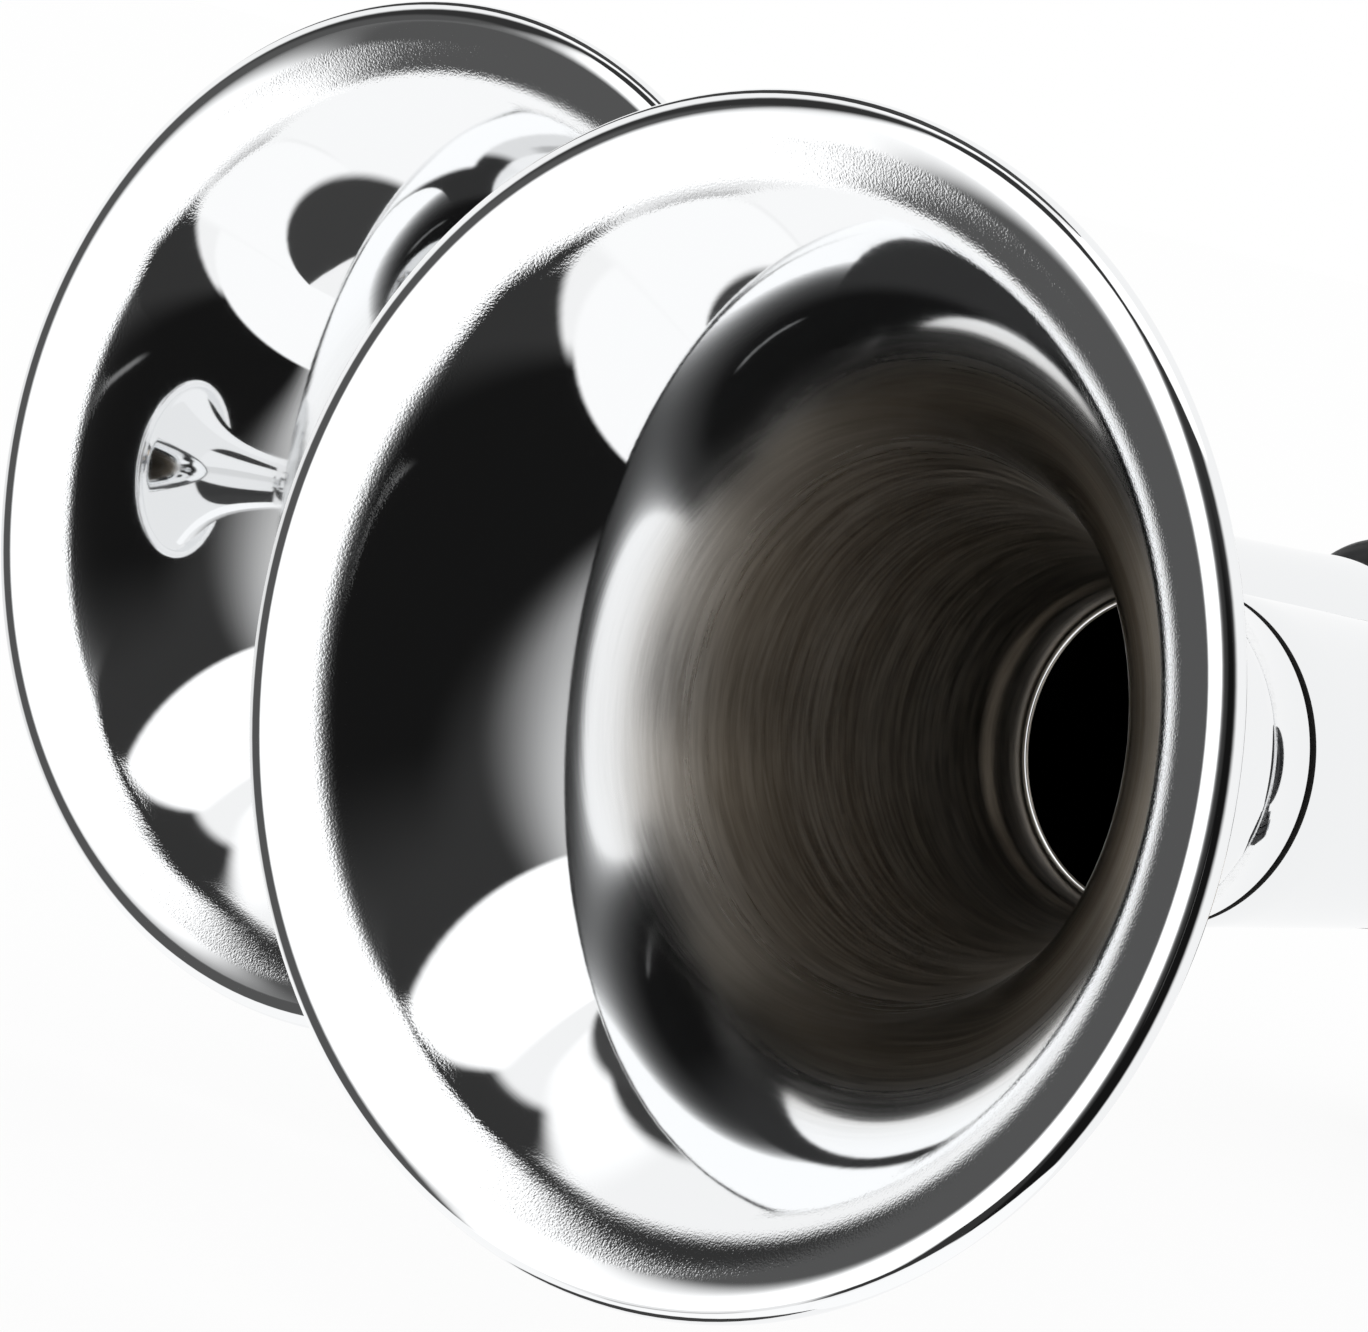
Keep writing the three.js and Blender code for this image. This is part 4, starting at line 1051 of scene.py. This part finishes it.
@dataclass(frozen=True)
class MountingBase:
    """The cast base with three pads, the air gallery in its rail, and four mounting holes."""

    low: Place = (-65, -24, 0)
    high: Place = (65, 24, 8)
    corner: float = 12.0
    edge: float = 1.2
    pad_low: Place = (-15, -22, 4)
    pad_high: Place = (15, 12, 13)
    valve_pad_low: Place = (-14, -16, 4)
    valve_pad_high: Place = (14, 16, 13)
    rail_low: Place = (-49.35, -7.5, 4)
    rail_high: Place = (49.35, 7.5, 11.8)
    gallery: float = 3.0
    gallery_end: float = -59.0
    gallery_height: float = 7.0
    port: float = 2.5
    seal: float = 5.3
    seal_groove: float = 0.9
    groove_floor: float = 11.9
    bolt_floor: float = 3.0
    mount_hole: float = 3.25
    mount_at: Point = (25.0, 16.0)
    valve_floor: float = 2.0
    valve_head: float = 3.7
    valve_sink: float = 4.0
    plug_head: float = 6.0
    plug_shank: float = 2.8
    plug_from: float = 56.0
    plug_seat: float = 65.3
    plug_end: float = 69.0

    def casting(self) -> Piece:
        """Joins plate, pads and rail and drills them."""
        over = self.pad_high[2] + 1
        piece = block(self.low, self.high, self.corner, self.edge)
        rail = block(self.rail_low, self.rail_high, 0, 0.8)
        valve_pad = block(self.valve_pad_low, self.valve_pad_high, 3, 1.0)
        pads = []
        for side in (-1, 1):
            pads.append(placed(block(self.pad_low, self.pad_high, 5, 1.2), (side * SPACING / 2, 0, 0)))
        worked(piece, Join.ADD, rail, valve_pad, *pads)
        gallery = placed(rod(self.gallery, self.gallery_end, self.high[0] + 1), turn=(0, 0, -90))
        cuts = [placed(gallery, (0, 0, self.gallery_height))]
        outer, inner = self.seal + self.seal_groove, self.seal - self.seal_groove
        groove = [(outer, self.groove_floor), (outer, over), (inner, over), (inner, self.groove_floor)]
        for x in (-SPACING / 2, 0, SPACING / 2):
            cuts.append(bored((x, 0), self.port, self.gallery_height, over))
            cuts.append(placed(stood(spun(groove, 64)), (x, 0, 0)))
        top = self.high[2]
        for side in (-1, 1):
            for off in (-1, 1):
                bolt = (side * SPACING / 2 + off * BOLT_AT[0], BOLT_AT[1])
                cuts.append(bored(bolt, BOLT_HOLE, self.bolt_floor, over))
                mount = (side * self.mount_at[0], off * self.mount_at[1])
                cuts.append(bored(mount, self.mount_hole, -1, top + 1, widened=0.6, at=top))
            screw = (side * VALVE_SCREW_AT[0], side * VALVE_SCREW_AT[1])
            cuts.append(bored(screw, VALVE_SCREW_HOLE, self.valve_floor, over))
            cuts.append(bored(screw, self.valve_head, -1, self.valve_sink))
        return worked(piece, Join.CUT, *cuts)

    def build(self, enamel: Material, zinc: Material) -> None:
        """Dresses the casting and its plug.

        Args:
            enamel: the finish of the casting.
            zinc: the finish of the plug.
        """
        dressed(self.casting(), "cast_base", ["mounting_base"], "black_casting", [enamel])
        head = hexagon(self.plug_head, self.plug_seat, self.plug_end)
        shank = rod(self.plug_shank, self.plug_from, self.plug_seat + 1)
        plug = placed(worked(head, Join.ADD, shank), turn=(0, 0, -90))
        plug = placed(plug, (0, 0, self.gallery_height))
        dressed(plug, "hex_plug", ["gallery_plug"], "steel", [zinc])


# Air valve


@dataclass(frozen=True)
class AirValve:
    """The brass valve with its guide tube, spring, coil, yoke, nut and hose barb."""

    body_low: Place = (-14, -16, 13.3)
    body_high: Place = (14, 16, 33.3)
    inside: tuple[Point, ...] = (
        (0, 12.3), (2.2, 12.3), (2.2, 22.3), (4, 22.3), (4, 19.8),
        (8, 19.8), (8, 30.8), (10.3, 30.8), (10.3, 34.3), (0, 34.3),
    )  # fmt: skip
    screw: PanScrew = PanScrew(shank=2.0, head=3.4, tip=0, seat=15.7, top=18.3)
    screw_tip: float = 19.5
    inlet: float = 5.0
    inlet_height: float = 24.3
    bore: float = 2.4
    guide_bore: float = 4.9
    guide: float = 5.6
    guide_top: float = 63.6
    collar: float = 10.0
    collar_low: float = 31.1
    stud: float = 3.0
    stud_top: float = 71.1
    thread_pitch: float = 0.8
    thread_depth: float = 0.28
    spring_radius: float = 2.2
    spring_wire: float = 0.35
    spring_low: float = 40.45
    spring_high: float = 51.85
    spring_turns: int = 5
    lift: float = 2.0
    coil_low: Place = (-15, -15, 35.7)
    coil_high: Place = (15, 15, 61.7)
    socket_low: Place = (-10, 13, 45.7)
    socket_high: Place = (10, 19, 53.7)
    coil_hole: float = 5.9
    blade_low: Place = (-3.15, 16, 49.3)
    blade_high: Place = (3.15, 28, 50.1)
    blade_x: float = 5.0
    yoke_low: Place = (-11, -17.1, 33.6)
    yoke_high: Place = (11, 13, 63.8)
    yoke_plate: float = 1.8
    washer: float = 6.5
    washer_low: float = 64.1
    nut: float = 5.8
    nut_low: float = 65.4
    nut_high: float = 69.4
    barb_hex: float = 7.4
    barb_hex_from: float = 16.3
    barb_hex_to: float = 21.3
    barb_root: float = 4.3
    barb_peak: float = 5.2
    barb_tip: float = 3.6
    barb_start: float = 25.3
    barb_pitch: float = 5.0
    barbs: int = 3

    def body(self) -> Piece:
        """Drills the brass block."""
        piece = block(self.body_low, self.body_high, 3, 0.8)
        cuts = [stood(spun(self.inside, 72))]
        for side in (-1, 1):
            screw = (side * VALVE_SCREW_AT[0], side * VALVE_SCREW_AT[1])
            cuts.append(bored(screw, VALVE_SCREW_HOLE, 12, 20))
        cuts.append(placed(rod(self.inlet, 9, self.body_high[1] + 1), (0, 0, self.inlet_height)))
        cuts.append(placed(rod(self.bore, 5.6, 10), (0, 0, self.inlet_height)))
        return worked(piece, Join.CUT, *cuts)

    def guide_tube(self) -> Piece:
        """Spins the guide tube with its collar and its threaded stud."""
        top, root = self.body_high[2], self.stud - self.thread_depth
        thread = []
        turns = int((self.stud_top - self.guide_top - 1) / self.thread_pitch)
        for i in range(turns):
            start = self.guide_top + 0.4 + i * self.thread_pitch
            thread += [(root, start), (self.stud, start + self.thread_pitch / 2)]
        outline = [
            (self.guide_bore, self.collar_low),
            (self.collar, self.collar_low),
            (self.collar, top - 0.3),
            (self.collar - 0.3, top),
            (self.guide, top),
            (self.guide, self.guide_top - 0.3),
            (self.guide - 0.3, self.guide_top),
            (root, self.guide_top),
            *thread,
            (root, self.stud_top - 0.5),
            (self.stud - 0.7, self.stud_top),
            (0, self.stud_top),
            (0, self.guide_top - 0.7),
            (self.guide_bore, self.guide_top - 0.7),
        ]
        return stood(spun(outline, 72))

    def spring(self) -> Piece:
        """Winds the return spring from a round wire."""
        bpy.ops.object.select_all(action="DESELECT")
        bpy.ops.mesh.primitive_circle_add(vertices=12, radius=self.spring_wire * MM, fill_type="NGON")
        wire = placed(bpy.context.active_object, (self.spring_radius, 0, self.spring_low), (90, 0, 0))
        bpy.ops.object.modifier_add(type="SCREW")
        winding = wire.modifiers[-1]
        winding.axis = "Z"
        winding.iterations = self.spring_turns
        winding.screw_offset = (self.spring_high - self.spring_low) / self.spring_turns * MM
        winding.steps = winding.render_steps = 32
        bpy.ops.object.modifier_apply(modifier=winding.name)
        bpy.ops.object.mode_set(mode="EDIT")
        bpy.ops.mesh.select_all(action="SELECT")
        bpy.ops.mesh.remove_doubles(threshold=WELD)
        bpy.ops.mesh.fill_holes(sides=0)
        bpy.ops.mesh.normals_make_consistent(inside=False)
        bpy.ops.object.mode_set(mode="OBJECT")
        return wire

    def coil(self) -> Piece:
        """Moulds the coil's housing with its terminal block, bore and slots."""
        piece = block(self.coil_low, self.coil_high, 6, 1)
        worked(piece, Join.ADD, block(self.socket_low, self.socket_high, 0.8, 0.5))
        cuts = [stood(rod(self.coil_hole, self.coil_low[2] - 1, self.coil_high[2] + 1))]
        for side in (-1, 1):
            low = [value - 0.2 for value in self.blade_low]
            high = [value + 0.2 for value in self.blade_high]
            cuts.append(placed(block(low, high), (side * self.blade_x, 0, 0)))
        return worked(piece, Join.CUT, *cuts)

    def yoke(self) -> Piece:
        """Bends the strap round the coil and punches it for the guide tube."""
        piece = block(self.yoke_low, self.yoke_high)
        front = self.yoke_low[1] * MM
        bevelled(piece, lambda a, b: max(a.y, b.y) < front + WELD and abs(a.x - b.x) > WELD, 2.4, 8)
        plate = self.yoke_plate
        low = (self.yoke_low[0] - 1, self.yoke_low[1] + plate, self.yoke_low[2] + plate)
        high = (self.yoke_high[0] + 1, self.yoke_high[1] + 2, self.yoke_high[2] - plate)
        window = block(low, high)
        inner = low[1] * MM
        bevelled(window, lambda a, b: max(a.y, b.y) < inner + WELD and abs(a.x - b.x) > WELD, 0.8, 5)
        hole = stood(rod(self.coil_hole, self.yoke_low[2] - 1, self.yoke_high[2] + 1))
        return worked(piece, Join.CUT, window, hole)

    def blade(self) -> Piece:
        """Stamps a spade terminal with a pointed end and a latch hole."""
        piece = block(self.blade_low, self.blade_high)
        end = self.blade_high[1] * MM
        bevelled(piece, lambda a, b: min(a.y, b.y) > end - WELD and abs(a.z - b.z) > WELD, 1.2, 1)
        bevelled(piece, lambda a, b: min(a.y, b.y) > end - WELD and abs(a.x - b.x) > WELD, 0.25, 1)
        hole = bored((0, self.blade_high[1] - 3.2), 0.85, 48, 52)
        return worked(piece, Join.CUT, hole)

    def washer_ring(self) -> Piece:
        """Turns the washer."""
        low, high = self.washer_low, self.washer_low + 1
        bore, edge = self.stud + 0.2, self.washer - 0.15
        outside = [(edge, low), (self.washer, low + 0.15), (self.washer, high - 0.15), (edge, high)]
        return stood(spun([(bore, low), *outside, (bore, high)], 72))

    def coil_nut(self) -> Piece:
        """Taps the hexagon nut."""
        hole = rod(self.stud + 0.2, self.nut_low - 1, self.nut_high + 1)
        return stood(worked(hexagon(self.nut, self.nut_low, self.nut_high), Join.CUT, hole))

    def barb(self) -> Piece:
        """Turns the hose barb and joins its hexagon."""
        barbs = []
        for i in range(self.barbs):
            start = self.barb_start + i * self.barb_pitch
            end = self.barb_root if i < self.barbs - 1 else self.barb_tip
            barbs += [(self.barb_root, start), (self.barb_peak - 0.12, start), (self.barb_peak, start + 0.15)]
            barbs.append((end, start + self.barb_pitch - 0.01))
        tip = self.barb_start + self.barbs * self.barb_pitch
        outline = [
            (self.bore, 9.3),
            (self.inlet - 0.2, 9.3),
            (self.inlet - 0.2, self.barb_hex_from + 2.5),
            (self.barb_root, self.barb_hex_from + 2.5),
            *barbs,
            (self.barb_tip - 0.3, tip),
            (self.bore, tip),
        ]
        piece = spun(outline, 72)
        nut = hexagon(self.barb_hex, self.barb_hex_from, self.barb_hex_to)
        worked(nut, Join.CUT, rod(self.bore + 0.6, 10, 30))
        return placed(worked(piece, Join.ADD, nut), (0, 0, self.inlet_height))

    def build(self, finishes: dict[Finish, Material]) -> None:
        """Dresses the valve's pieces.

        Args:
            finishes: the material of each finish.
        """
        brass, zinc = finishes[Finish.BRASS], finishes[Finish.ZINC]
        dressed(self.body(), "brass_body", ["valve_body"], "brass", [brass])
        dressed(self.guide_tube(), "threaded_guide", ["guide_tube"], "steel", [finishes[Finish.STAINLESS]])
        spring = dressed(self.spring(), "wound_spring", ["return_spring"], "steel", [finishes[Finish.WIRE]])
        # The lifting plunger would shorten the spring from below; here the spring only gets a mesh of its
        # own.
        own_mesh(spring)
        dressed(self.coil(), "moulded_coil", ["solenoid_coil"], "coil_moulding", [finishes[Finish.RESIN]])
        dressed(self.yoke(), "bent_yoke", ["coil_yoke"], "steel", [zinc])
        dressed(self.washer_ring(), "flat_washer", ["coil_washer"], "steel", [zinc])
        dressed(self.coil_nut(), "hex_nut", ["coil_nut"], "steel", [zinc])
        dressed(self.barb(), "turned_barb", ["hose_barb"], "brass", [brass])
        blade = self.blade()
        blades = (placed(twin(blade), (-self.blade_x, 0, 0)), placed(blade, (self.blade_x, 0, 0)))
        for i, piece in enumerate(blades, 1):
            dressed(piece, f"spade_{i}", [f"terminal_{i}"], "brass", [brass])
        screw = placed(self.screw.build(), turn=(-90, 0, 0))
        for i, side in enumerate((-1, 1), 1):
            at = (side * VALVE_SCREW_AT[0], side * VALVE_SCREW_AT[1], self.screw_tip)
            dressed(placed(twin(screw), at), f"base_screw_{i}", [f"valve_screw_{i}"], "steel", [zinc])
        bpy.data.objects.remove(screw)


# Studio


@dataclass(frozen=True)
class Edge:
    """A straight edge of a patch: inside is where bearing * across + height * up passes a value."""

    across: float
    up: float
    past: float
    blur: float = 2.0


@dataclass(frozen=True)
class Zone:
    """A patch of the tent round the object, bounded by edges in degrees as seen from the near bell.

    The bearing runs from straight in front of the bells round towards +X, and the height from level.
    """

    name: str
    level: float
    edges: tuple[Edge, ...]

    def over(self, add: Adder, bearing: Node, height: Node, under: object) -> Node:
        """Lays this patch over what is under it.

        Args:
            add: add_node for the tent's tree.
            bearing: the node that gives the bearing.
            height: the node that gives the height.
            under: the level so far, a node or a number.

        Returns:
            The node that gives the level with this patch in place.
        """
        mask = 1.0
        for edge in self.edges:
            along = add("Math", {0: bearing, 1: edge.across}, operation="MULTIPLY")
            value = add("Math", {0: height, 1: edge.up, 2: along}, operation="MULTIPLY_ADD")
            limits = {"From Min": edge.past - edge.blur / 2, "From Max": edge.past + edge.blur / 2}
            ramp = add("MapRange", {"Value": value, **limits}, interpolation_type="SMOOTHSTEP")
            mask = add("Math", {0: ramp, 1: mask}, operation="MULTIPLY")
        LOG.info("tent: %s, as bright as %.3f", self.name, self.level)
        return add("Mix", {0: mask, 2: under, 3: self.level})


@dataclass(frozen=True)
class Card:
    """The far left part of the white front, which the rounded lips show, with a curved left side."""

    bearing: float = -25.0
    height: float = -3.0
    half_width: float = 50.0
    half_height: float = 45.5
    power: float = 4.0
    rim: Point = (1.05, 0.92)
    white: float = 1.22
    left_side: float = -39.0
    left_bow: float = 0.014
    right_side: float = -4.0
    soft: float = 3.0

    def over(self, add: Adder, bearing: Node, height: Node, under: object) -> Node:
        """Lays the card over what is under it; the arguments and the result are those of a zone."""
        total = 0.0
        for value, middle, half in (
            (bearing, self.bearing, self.half_width),
            (height, self.height, self.half_height),
        ):
            off = add("Math", {0: value, 1: middle}, operation="SUBTRACT")
            share = add("Math", {0: off, 1: half}, operation="DIVIDE")
            size = add("Math", {0: share}, operation="ABSOLUTE")
            powered = add("Math", {0: size, 1: self.power}, operation="POWER")
            total = add("Math", {0: powered, 1: total}, operation="ADD")
        # Only below level does the left side bow outwards.
        below = add("Math", {0: height, 1: 0.0}, operation="MINIMUM")
        squared = add("Math", {0: below, 1: below}, operation="MULTIPLY")
        bowed = add("Math", {0: squared, 1: self.left_bow, 2: bearing}, operation="MULTIPLY_ADD")
        cover = 1.0
        for value, start, end in (
            (total, *self.rim),
            (bowed, self.left_side - self.soft, self.left_side + self.soft),
            (bearing, self.right_side + self.soft, self.right_side - self.soft),
        ):
            limits = {"From Min": start, "From Max": end}
            inside = add("MapRange", {"Value": value, **limits}, interpolation_type="SMOOTHSTEP")
            cover = add("Math", {0: cover, 1: inside}, operation="MULTIPLY")
        return add("Mix", {0: cover, 2: under, 3: self.white})


@dataclass(frozen=True)
class FrontCard:
    """A white card before the bells, whose white fades out past its right edge.

    The fade lets the tent's dark patches show through.
    """

    left: float = -150.0
    right: float = 112.0
    right_bow: float = 0.00035
    dark_end: float = 300.0
    low: float = -290.0
    high: float = 385.0
    top_slope: float = 0.25
    front: float = -595.0
    fade: float = 17.0
    left_by_fade: float = 0.368
    white: float = 1.22
    soft: float = 12.0

    def build(self) -> None:
        """Builds the card, which only mirrors see."""
        top = self.high - self.top_slope * self.left
        middle = ((self.left + self.dark_end) / 2 * MM, self.front * MM, (self.low + top) / 2 * MM)
        bpy.ops.object.select_all(action="DESELECT")
        bpy.ops.mesh.primitive_plane_add(size=1, location=middle, rotation=(QUARTER, 0, 0))
        card = bpy.context.active_object
        width, height = self.dark_end - self.left + 2 * self.soft, top - self.low + 2 * self.soft
        card.scale = (width * MM, height * MM, 1)
        bpy.ops.object.transform_apply(location=True, rotation=True, scale=True)
        card.name = "front_card"
        add = stage_cloth(card, "front_card_cloth")
        parts = add("SeparateXYZ", {0: add("TexCoord").outputs["Object"]})
        across, up = parts.outputs["X"], parts.outputs["Z"]
        squared = add("Math", {0: up, 1: up}, operation="MULTIPLY")
        bowed = add("Math", {0: squared, 1: self.right_bow / MM, 2: across}, operation="MULTIPLY_ADD")
        tilted = add("Math", {0: across, 1: self.top_slope, 2: up}, operation="MULTIPLY_ADD")
        past = add("Math", {0: bowed, 1: self.right * MM}, operation="SUBTRACT")
        folds = add("Math", {0: past, 1: self.fade * MM}, operation="DIVIDE")
        beyond = add("Math", {0: folds, 1: 0.0}, operation="MAXIMUM")
        cover = add("Math", {0: self.left_by_fade, 1: beyond}, operation="POWER")
        for part, edge, way in ((across, self.left, 1), (up, self.low, 1), (tilted, self.high, -1)):
            start, end = edge - way * self.soft, edge + way * self.soft
            limits = {"From Min": start * MM, "From Max": end * MM}
            inside = add("MapRange", {"Value": part, **limits}, interpolation_type="SMOOTHSTEP")
            cover = add("Math", {0: inside, 1: cover}, operation="MULTIPLY")
        glow = add("Emission", {"Color": WHITE, "Strength": self.white})
        mixed = add("MixShader", {0: cover, 1: add("BsdfTransparent"), 2: glow})
        add("OutputMaterial", {"Surface": mixed})


@dataclass(frozen=True)
class Studio:
    """A white tent with dark openings, a pale floor, and the camera."""

    tent_centre: Place = (SPACING / 2, -SETBACK - LOW_REACH, HEIGHT)
    tent_radius: float = 5000.0
    table_drop: float = 220.0
    white: float = 1.0
    floor_side: float = 12000.0
    floor_glow: float = 0.9
    lens: float = 196.84
    sensor: float = 36.0
    camera_at: Place = (411.05, -795.4, 113.0)
    camera_way: Place = (-0.604, 0.792, -0.084)
    camera_right: Place = (0.762, 0.606, 0.225)
    zones: tuple[Zone, ...] = (
        Zone(
            "opening",
            0.035,
            (Edge(1, 0, -94, 8), Edge(-1, -0.14, -77, 30), Edge(0, -1, -63), Edge(0, 1, -58)),
        ),
        Zone(
            "opening_low",
            0.008,
            (Edge(1, 0, 29, 12), Edge(-1, -0.45, -66, 14), Edge(0, -1, -32, 26), Edge(0, 1, -60, 1.5)),
        ),
        Zone(
            "left_wall",
            0.095,
            (Edge(-1, 0, 38, 4), Edge(1, 0, -100, 6), Edge(0, -1, -14, 10), Edge(0, 1, -50, 6)),
        ),
        Zone("left_edge", 0.85, (Edge(-1, 0, 83, 10), Edge(0, -1, -6, 8), Edge(1, 0, -120))),
        Zone("left_softbox", 1.0, (Edge(-1, 0.55, 80, 13), Edge(0, 1, 0, 10), Edge(1, 0, -120))),
        Zone(
            "left_softbox_high",
            1.15,
            (Edge(-1, 1.6, 141, 8), Edge(-1, 0, 31.5, 6), Edge(0, 1, 53, 6), Edge(1, 0, -120)),
        ),
        Zone("left_softbox_end", 0.05, (Edge(-0.96, 1, 127, 4), Edge(0, 1, 12), Edge(1, 0, -120))),
        Zone("left_softbox_top", 0.06, (Edge(-0.3, 1, 86.5, 3), Edge(-1, 0, 0, 8), Edge(1, 0, -120))),
        Zone(
            "ceiling_softbox",
            1.2,
            (Edge(0, 1, 52.2, 1.5), Edge(0.455, 0.89, 49.5), Edge(1, -0.6, -55, 5), Edge(-1, 0, -110)),
        ),
        Zone(
            "left_floor",
            1.05,
            (Edge(-0.55, -1, 74.5, 3), Edge(-1, 0, 46, 5), Edge(0, 1, -58), Edge(1, 0, -120)),
        ),
        Zone("card_foot", 0.9, (Edge(-1, 0, 15, 8), Edge(1, 0, -58, 3), Edge(0, -1, 44, 3), Edge(0, 1, -59))),
        Zone("floor_left", 1.08, (Edge(0, -1, 57.5, 1.5), Edge(-1, 0, 10, 7), Edge(1, 0, -120))),
        Zone("floor", 1.08, (Edge(0.11, -1, 62.8, 1.5), Edge(1, 0, -10, 6))),
        Zone(
            "foot_line",
            0.55,
            (Edge(-1, 0, 28, 6), Edge(1, 0, -56, 4), Edge(0, -1, 54, 1.5), Edge(0, 1, -57.5, 1.5)),
        ),
        Zone("left_floor_end", 0.05, (Edge(-0.46, -1, 100.5, 3), Edge(-1, 0, 30), Edge(1, 0, -120))),
        Zone(
            "stand",
            0.2,
            (Edge(1, 0.1, 34.6, 0.6), Edge(-1, -0.1, -35.6, 0.6), Edge(0, 1, -24, 6), Edge(0, -1, 5, 6)),
        ),
    )
    card: Card = Card()

    def tent(self) -> None:
        """Builds the tent, which only mirrors see."""
        bpy.ops.object.select_all(action="DESELECT")
        size = {"radius": self.tent_radius * MM, "location": [value * MM for value in self.tent_centre]}
        bpy.ops.mesh.primitive_uv_sphere_add(segments=96, ring_count=48, **size)
        tent = bpy.context.active_object
        tent.name = "studio_tent"
        for vertex in tent.data.vertices:
            vertex.co.z = max(vertex.co.z, -self.table_drop * MM)
        add = stage_cloth(tent, "tent_cloth")
        place = add("TexCoord").outputs["Object"]
        parts = add("SeparateXYZ", {0: place})
        front = add("Math", {0: parts.outputs["Y"], 1: -1.0}, operation="MULTIPLY")
        around = add("Math", {0: parts.outputs["X"], 1: front}, operation="ARCTAN2")
        bearing = add("Math", {0: around}, operation="DEGREES")
        way = add("VectorMath", {0: place}, operation="NORMALIZE")
        up = add("Math", {0: add("SeparateXYZ", {0: way}).outputs["Z"]}, operation="ARCSINE")
        height = add("Math", {0: up}, operation="DEGREES")
        level = self.white
        for zone in (*self.zones, self.card):
            level = zone.over(add, bearing, height, level)
        add("OutputMaterial", {"Surface": add("Emission", {"Color": WHITE, "Strength": level})})

    def floor(self) -> None:
        """Builds the pale floor, which the camera sees as white paper with the object's shadow."""
        bpy.ops.object.select_all(action="DESELECT")
        bpy.ops.mesh.primitive_plane_add(size=self.floor_side * MM, location=(0, 0, 0))
        floor = bpy.context.active_object
        floor.name = "studio_floor"
        floor.visible_glossy = False
        material = bpy.data.materials.new("white_paper")
        material.use_nodes = True
        material.node_tree.nodes.clear()
        add = partial(add_node, material.node_tree)
        paper = add("BsdfDiffuse", {"Color": linear("#F7F7F7")})
        glow = add("Emission", {"Color": WHITE, "Strength": 1.0})
        seen = add("LightPath").outputs["Is Camera Ray"]
        share = add("Math", {0: seen, 1: self.floor_glow}, operation="MULTIPLY")
        add("OutputMaterial", {"Surface": add("MixShader", {0: share, 1: paper, 2: glow})})
        floor.data.materials.append(material)

    def sky(self) -> None:
        """Lights the scene evenly with a white world."""
        world = bpy.context.scene.world or bpy.data.worlds.new("white_sky")
        bpy.context.scene.world = world
        world.use_nodes = True
        world.node_tree.nodes.clear()
        background = add_node(world.node_tree, "Background", {"Color": WHITE, "Strength": 1.0})
        add_node(world.node_tree, "OutputWorld", {"Surface": background})
        bpy.context.scene.view_settings.view_transform = "Standard"

    def camera(self) -> None:
        """Puts the camera where the photograph was taken from, to the right of the bells."""
        data = bpy.data.cameras.new("photo_camera")
        data.sensor_fit = "HORIZONTAL"
        data.sensor_width = self.sensor
        data.lens = self.lens
        data.clip_end = 50.0
        camera = bpy.data.objects.new("photo_camera", data)
        bpy.context.scene.collection.objects.link(camera)
        back = -Vector(self.camera_way).normalized()
        right = Vector(self.camera_right)
        right = (right - right.dot(back) * back).normalized()
        turn = Matrix((right, back.cross(right), back)).transposed().to_4x4()
        camera.matrix_world = Matrix.Translation(Vector(self.camera_at) * MM) @ turn
        bpy.context.scene.camera = camera

    def build(self) -> None:
        """Builds the whole studio."""
        self.camera()
        self.tent()
        FrontCard().build()
        self.floor()
        self.sky()


SEALS = ("throat_seal", "front_ring", "rear_ring", "port_seal")
CAD_FINISHES = {
    Finish.RUBBER: (
        *(f"{horn}_{seal}" for horn in ("low", "high") for seal in SEALS),
        "valve_port_seal",
        "plunger_seal",
    ),
    Finish.SHEET: ("low_diaphragm", "high_diaphragm"),
    Finish.STAINLESS: ("plunger", "fixed_core"),
}


def dress_cad(finishes: dict[Finish, Material]) -> None:
    """Gives the CAD nodes that stay their finishes.

    Args:
        finishes: the material of each finish.
    """
    for finish, names in CAD_FINISHES.items():
        for name in names:
            materials = bpy.data.objects[name].data.materials
            materials.clear()
            materials.append(finishes[finish])
            LOG.info("%s keeps its CAD shape, in %s", name, finishes[finish].name)


def main() -> None:
    """Builds the studio and every sub-assembly in order."""
    logging.basicConfig(level=logging.INFO, format="%(name)s: %(message)s")
    Studio().build()
    finishes = {finish: finish.value.material() for finish in Finish}
    enamel, zinc = finishes[Finish.ENAMEL], finishes[Finish.ZINC]
    chrome = PolishedChrome().material()
    first = Bell().build()
    second = twin(first)
    for trumpet, bell in ((Trumpet("low", 1, LOW_REACH), second), (Trumpet("high", -1, HIGH_REACH), first)):
        trumpet.build(bell, chrome, finishes[Finish.JOINT])
    HornRear().build(enamel, finishes[Finish.NYLON], zinc)
    MountingBase().build(enamel, zinc)
    AirValve().build(finishes)
    dress_cad(finishes)


if __name__ == "__main__":
    main()
